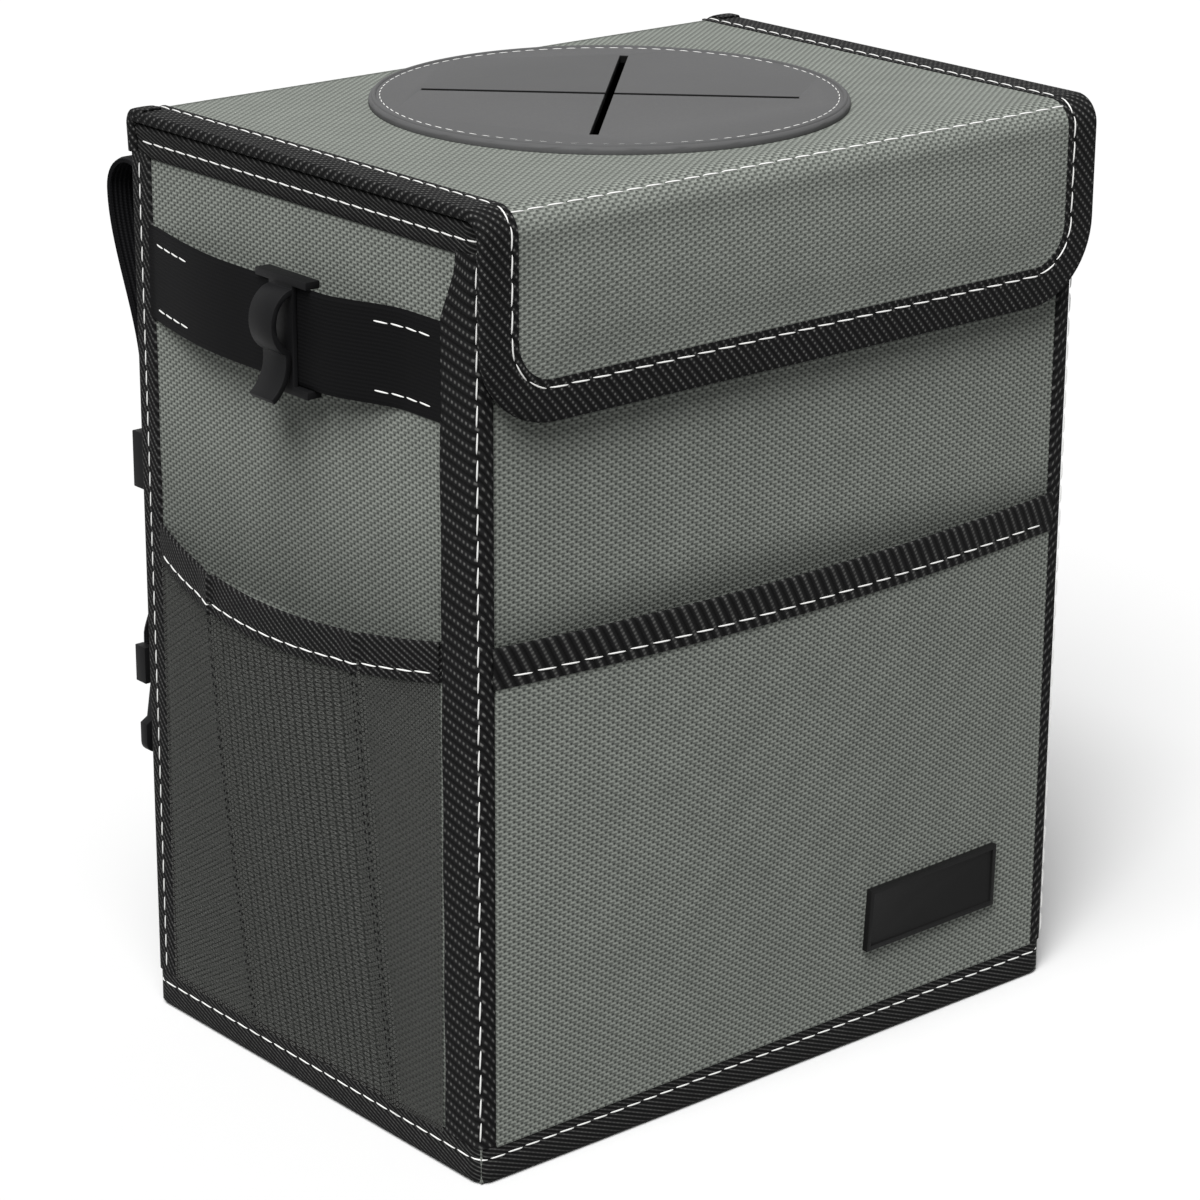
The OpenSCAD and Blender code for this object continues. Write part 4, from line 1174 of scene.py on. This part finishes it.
def strap_line():
    """From the sewn end over the bend, down to the buckle's bar, round it and up again."""
    bend = (WALL_Y + 9 * MM, BEND_Z * MM)
    hang = HALF_D + 3.9 * MM
    line = [(WALL_Y, mix(SEWN_Z, BEND_Z, i / 4) * MM) for i in range(4)]
    line += [arc_point(bend, 9 * MM, 180 - 10 * i) for i in range(19)]
    line += [(mix(bend[0] + 9 * MM, hang, smooth(i / 24)), mix(BEND_Z, FREE_Z, i / 24) * MM)
             for i in range(1, 25)]
    line += [(hang, mix(FREE_Z, BAR_Z, i / 30) * MM) for i in range(1, 30)]
    line += [arc_point((hang + 3 * MM, BAR_Z * MM), 3 * MM, 180 + 15 * i) for i in range(13)]
    line += [(mix(hang + 6 * MM, hang + 1.55 * MM, smooth(i / 8)), (BAR_Z + 4 + 1.75 * i) * MM)
             for i in range(1, 9)]
    line += [(hang + 1.55 * MM, (BAR_Z + 18 + i * 2) * MM) for i in range(1, 6)]
    return line


strap_points = strap_line()
strap_run = line_lengths(strap_points)
LAST = len(strap_points) - 1


def strap_rule(sign):
    def spot(s, t):
        k = round(t * LAST)
        y, z = strap_points[k]
        a, b = strap_points[max(0, k - 1)], strap_points[min(LAST, k + 1)]
        d = Vector((b[0] - a[0], b[1] - a[1])).normalized()
        edge = min(1.0, min(s, 1 - s) * STRAP_W / (1 * MM))
        lift = 0.25 * MM + 0.45 * MM * math.sqrt(edge)
        return sign * (STRAP_X + (s - 0.5) * STRAP_W), y - d.y * lift, z + d.x * lift
    return spot


def anchor_rule(sign):
    def spot(s, t):
        crest = 0.6 + 0.4 * crown(min(s, 1 - s), 0.3)
        return (sign * (STRAP_X + (s - 0.5) * 24.6 * MM), HALF_D + 1.45 * MM + 1.35 * MM * crest,
                mix(SEWN_Z, SEWN_Z + 10, t) * MM)
    return spot


for side, sign in SIDES:
    strap = cloth_sheet(side + "_webbing", 22, LAST, strap_rule(sign),
                        lambda s, t: (s * STRAP_W, strap_run[round(t * LAST)]),
                        1.3 * MM, WEBBING, (0, -1, 0))
    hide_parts("strap_" + side)
    fasten(strap, "bin", "webbing", flat=(STRAP_W, strap_run[-1]), held="hung",
           rests_on=["back_cloth"])
    anchor = cloth_sheet(side + "_anchor", 12, 8, anchor_rule(sign), wall_flat(STRAP_W, 10 * MM),
                         1.2 * MM, WEBBING, (0, 1, 0))
    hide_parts("strap_anchor_" + side)
    fasten(anchor, "bin", "webbing", flat=(STRAP_W, 10 * MM), held="laid",
           rests_on=[side + "_webbing"])
print("webbing length:", round(strap_run[-1], 4))

# %% [markdown]
# ## Riding
#
# The cloth on the box rides on the bin's body. The lid's cloth, tapes and lining and the back
# cloth only have their places baked into their points. The stitches go with the cloth that
# they are sewn through.

# %% Riding
for piece in (lid_cloth, lid_tape, lid_stitches, flap_stitches, crease_stitches):
    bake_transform(piece)
for piece in (back_cloth, *fold_tapes):
    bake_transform(piece)
for slot, pieces in (("tape", (*fold_tapes, lid_tape)), ("cloth", (lid_cloth, back_cloth))):
    for piece in pieces:
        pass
for piece, width, height, behind in (
        (front_wall, 2 * HALF_W, WALL_TOP, "front_board"),
        (side_walls["left"], 2 * HALF_D, WALL_TOP, "left_board"),
        (side_walls["right"], 2 * HALF_D, WALL_TOP, "right_board"),
        (pocket, 2 * POCKET_HALF, POCKET_TOP - HEM_TOP, "front_wall_cloth")):
    fasten(piece, "bin", "cloth", flat=(width, height), held="stretched", rests_on=[behind])
for side, net in nets.items():
    fasten(net, "bin", "net", flat=(0.150, 0.151), held="gathered", rests_on=[side + "_wall_cloth"])
for piece in tapes:
    fasten(piece, "bin", "tape")
for piece in box_stitches:
    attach(piece, "bin")
print("pieces on the box:", len(tapes) + len(box_stitches) + len(nets))

# %% [markdown]
# ## Inside and below
#
# The leakproof lining is one limp coated bag. It hangs from the mouth's tape, so it creases more
# than the cover does. The lid and flap are lined with the same stuff, the floor is outer cloth, and
# the flap closes on two fuzzy strips of touch fastener.

# %% Lining of the box
BAG_LOW, BAG_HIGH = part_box("inner_lining")
BAG_X, BAG_Y = BAG_HIGH.x - 0.15 * MM, BAG_HIGH.y - 0.15 * MM
BAG_H = BAG_HIGH.z - BAG_LOW.z
BAG_R = 3 * MM


def bag_outline():
    line = []
    for sx, sy, start in ((1, 1, 0), (-1, 1, 90), (-1, -1, 180), (1, -1, 270)):
        centre = sx * (BAG_X - BAG_R), sy * (BAG_Y - BAG_R)
        line += [arc_point(centre, BAG_R, start + 22.5 * i) for i in range(5)]
    line.append(line[0])
    dense = []
    for a, b in zip(line, line[1:]):
        count = max(1, round(math.dist(a, b) / (6 * MM)))
        dense += [(mix(a[0], b[0], i / count), mix(a[1], b[1], i / count)) for i in range(count)]
    return dense + [line[-1]]


bag_line = bag_outline()
bag_run = line_lengths(bag_line)


def bag_spot(s, t):
    k = round(s * (len(bag_line) - 1))
    x, y = bag_line[k]
    z = mix(BAG_LOW.z + 0.5 * MM, BAG_HIGH.z - 0.2 * MM, t)
    run = bag_run[k] / bag_run[-1] * math.tau
    folds = 0.5 + 0.5 * math.sin(run * 9 + 2.2 * math.sin(z * 40))
    slack = folds * (0.5 + 0.5 * math.sin(z * 55 + 3 * math.sin(run * 3)))
    pull = 1 - 0.9 * MM * slack * crown(min(1, t)) / BAG_Y
    return x * pull, y * pull, z


def bag_flat(s, t):
    return bag_run[round(s * (len(bag_line) - 1))], t * BAG_H


def bag_floor_spot(s, t):
    wave = 0.4 * MM * (1 + ripple(s * 2.2, t * 1.7, 5)) * crown(s) * crown(t)
    return mix(-BAG_X, BAG_X, s), mix(-BAG_Y, BAG_Y, t), BAG_LOW.z + 0.5 * MM + wave


bag = cloth_sheet("lining_bag", len(bag_line) - 1, 60, bag_spot, bag_flat, 0.4 * MM, LINING,
                  (-1, -0.2, 0))
bag_floor = cloth_sheet("lining_floor", 36, 26, bag_floor_spot, wall_flat(2 * BAG_X, 2 * BAG_Y),
                        0.4 * MM, LINING, (0, 0, 1))
join(bag_floor, bag)
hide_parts("inner_lining")
fasten(bag, "bin", "liner", flat=(bag_run[-1], BAG_H), held="hung",
       rests_on=["front_board", "back_board", "left_board", "right_board", "bottom_board"])
print("lining bag round:", round(bag_run[-1], 4))

# %% [markdown]
# The lid's lining is one cloth with the flap's, and bends at the crease with them.

# %% Lining of the lid and flap
LIP_PLACES = [0, 0.45, 0.6, 1]
LIP_RADII, LIP_HEIGHTS = [67, 62, 61.5, 61.5], [-0.25, -0.35, 0, 2.3]  # in millimetres


def lining_lift(x, k):
    return LID_THICK + 0.1 * MM + lid_puff(x, k) * 0.4 + WAVE * ripple(x * 9, k * 0.03, 6)


def lip_spot(s, t):
    """The lining is turned up over the board's edge, all round the hole."""
    a, r = math.tau * s, np.interp(t, LIP_PLACES, LIP_RADII) * MM
    height = np.interp(t, LIP_PLACES, LIP_HEIGHTS) * MM
    return r * math.cos(a), r * math.sin(a), LID_TOP - LID_THICK + height


spot, flat = profile_rule(lid_line, lambda k: lid_half_width(k) - 0.6 * MM, lining_lift)
lid_lining = cloth_sheet("lid_lining_cloth", 84, len(lid_line) - 1, spot, flat, 0, LINING, -UP)
cut_hole(lid_lining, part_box("lid_lining")[1].z - 3 * MM, 0.3 * MM)
lip = cloth_sheet("hole_lip", 96, 8, lip_spot, wall_flat(0.39, 0.008), 0.2 * MM, LINING, -UP)
join(lip, lid_lining)
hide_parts("lid_lining", "flap_lining")
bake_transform(lid_lining)
print("lid lining faces:", len(lid_lining.data.polygons))

# %% [markdown]
# Flat pieces take their outline from the CAD solid that they stand for. The touch fastener's face
# is a little shaggy.

# %% Floor cloth and fastener strips
FUZZ = 0.3 * MM


def flat_piece(name, cad, finish, outward, depth, fuzz, steps):
    """A cloth that fills a flat CAD solid and shows its outward face."""
    low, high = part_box(cad)
    axis = 2 if outward[2] else 1
    face = (high if outward[axis] > 0 else low)[axis]
    across = 1 if axis == 2 else 2
    size = high.x - low.x, high[across] - low[across]

    def spot(s, t):
        made = Vector((mix(low.x, high.x, s), 0, 0))
        made[across] = mix(low[across], high[across], t)
        inward = min(s * size[0], (1 - s) * size[0], t * size[1], (1 - t) * size[1])
        rim = min(1.0, inward / (0.6 * MM))
        curl = math.sin(s * 977 + 5 * math.sin(t * 431)) * math.sin(t * 613 + 3 * math.sin(s * 389))
        tuft = fuzz * (0.5 + 0.5 * curl)
        made[axis] = face - outward[axis] * (0.2 * MM * (1 - math.sqrt(rim)) + tuft)
        return made
    piece = cloth_sheet(name, *steps, spot, wall_flat(*size), depth, finish, outward)
    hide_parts(cad)
    return piece, size


bottom_cloth, size = flat_piece("bottom_cloth", "bottom_panel", OXFORD, (0, 0, -1),
                                0.7 * MM, 0.15 * MM, (60, 44))
fasten(bottom_cloth, "bin", "cloth", flat=size, held="stretched", rests_on=["bottom_board"])
for name, cad, body, side, under in (
        ("loop_strip", "body_loop_strip", "bin", (0, -1, 0), "front_wall_cloth"),
        ("hook_strip", "flap_hook_strip", "flap", (0, 1, 0), "lid_lining_cloth")):
    strip, size = flat_piece(name, cad, FASTENER, side, 1.0 * MM, FUZZ, (120, 26))
    fasten(strip, body, "fastener", flat=size, held="laid", rests_on=[under])
print("floor cloth:", round(2 * HALF_W, 3), "wide")

# %% [markdown]
# The boards are the CAD's own solids. They show only at the cut edges, so they are simply dark.

# %% Boards
boards = [nodes[name] for name in nodes if name.endswith("_board")]
for board in boards:
    board.data.materials.clear()
    board.data.materials.append(BOARD)
print("boards:", len(boards))

# %% [markdown]
# ## Floor, light and camera
#
# The bin stands on a plain floor. Two wide soft suns light it from the front left, one of them
# nearly overhead, and a dim sky fills the rest. Rays that show the surroundings meet a white floor
# and a white sky; all others meet grey ones, so that the white doesn't flood the bin. The camera's
# place was worked out from the edges of the box in the photograph.

# %% Floor


def seen_as_background(tree):
    """1 for rays that show the surroundings, 0 for those that only light the bin."""
    camera, glossy, through = (node(tree, "ShaderNodeLightPath", out=f"Is {kind} Ray")
                               for kind in ("Camera", "Glossy", "Transmission"))
    return (camera + glossy + through).min(1.0)


pick()
bpy.ops.mesh.primitive_plane_add(size=30, location=(0, 0, -0.0002))
floor = bpy.context.object
floor.name = "floor"
paint, tree, shader = material("white_floor", (0.85,) * 3, 0.9, specular_ior_level=0.0)
mixed(tree, seen_as_background(tree), (0.33,) * 3, (0.76,) * 3).feed(shader, "Base Color")
floor.data.materials.append(paint)

# %% Light
world = bpy.data.worlds.new("daylight")
bpy.context.scene.world = world
world.use_nodes = True
sky = world.node_tree
mixed(sky, seen_as_background(sky), (0.15,) * 3, (1.0,) * 3).feed(sky.nodes["Background"], "Color")


def lamp(name, away, spread, strength):
    """A wide soft lamp that shines evenly from that side."""
    data = bpy.data.lights.new(name, "SUN")
    data.energy, data.angle = strength, math.radians(spread)
    made = bpy.data.objects.new(name, data)
    made.location = away
    made.rotation_euler = (-Vector(away)).to_track_quat("-Z", "Y").to_euler()
    bpy.context.scene.collection.objects.link(made)


lamp("key", (-3.6, -2.75, 4.75), 26, 2.2)
lamp("top", (-1.9, -1.3, 5.3), 30, 2.35)

# %% Camera
EYE = Vector((-0.7427, -0.8690, 0.5348))
AZIMUTH, ELEVATION, ROLL = (math.radians(a) for a in (-40.42, 19.41, 0.33))
back = Vector((math.sin(AZIMUTH) * math.cos(ELEVATION), -math.cos(AZIMUTH) * math.cos(ELEVATION),
               math.sin(ELEVATION)))
right = Vector((math.cos(AZIMUTH), math.sin(AZIMUTH), 0))
top = back.cross(right)
across = right * math.cos(ROLL) + top * math.sin(ROLL)
upright = top * math.cos(ROLL) - right * math.sin(ROLL)
camera = bpy.data.objects.new("camera", bpy.data.cameras.new("camera"))
camera.data.lens, camera.data.sensor_width = 116.38, 36
camera.data.clip_end = 100
axes = Matrix((across, upright, back)).transposed()
camera.matrix_world = Matrix.Translation(EYE) @ axes.to_4x4()
bpy.context.scene.collection.objects.link(camera)
bpy.context.scene.camera = camera
bpy.context.scene.view_settings.view_transform = "Standard"
print("camera at", [round(c, 3) for c in EYE], "lens", round(camera.data.lens, 1))
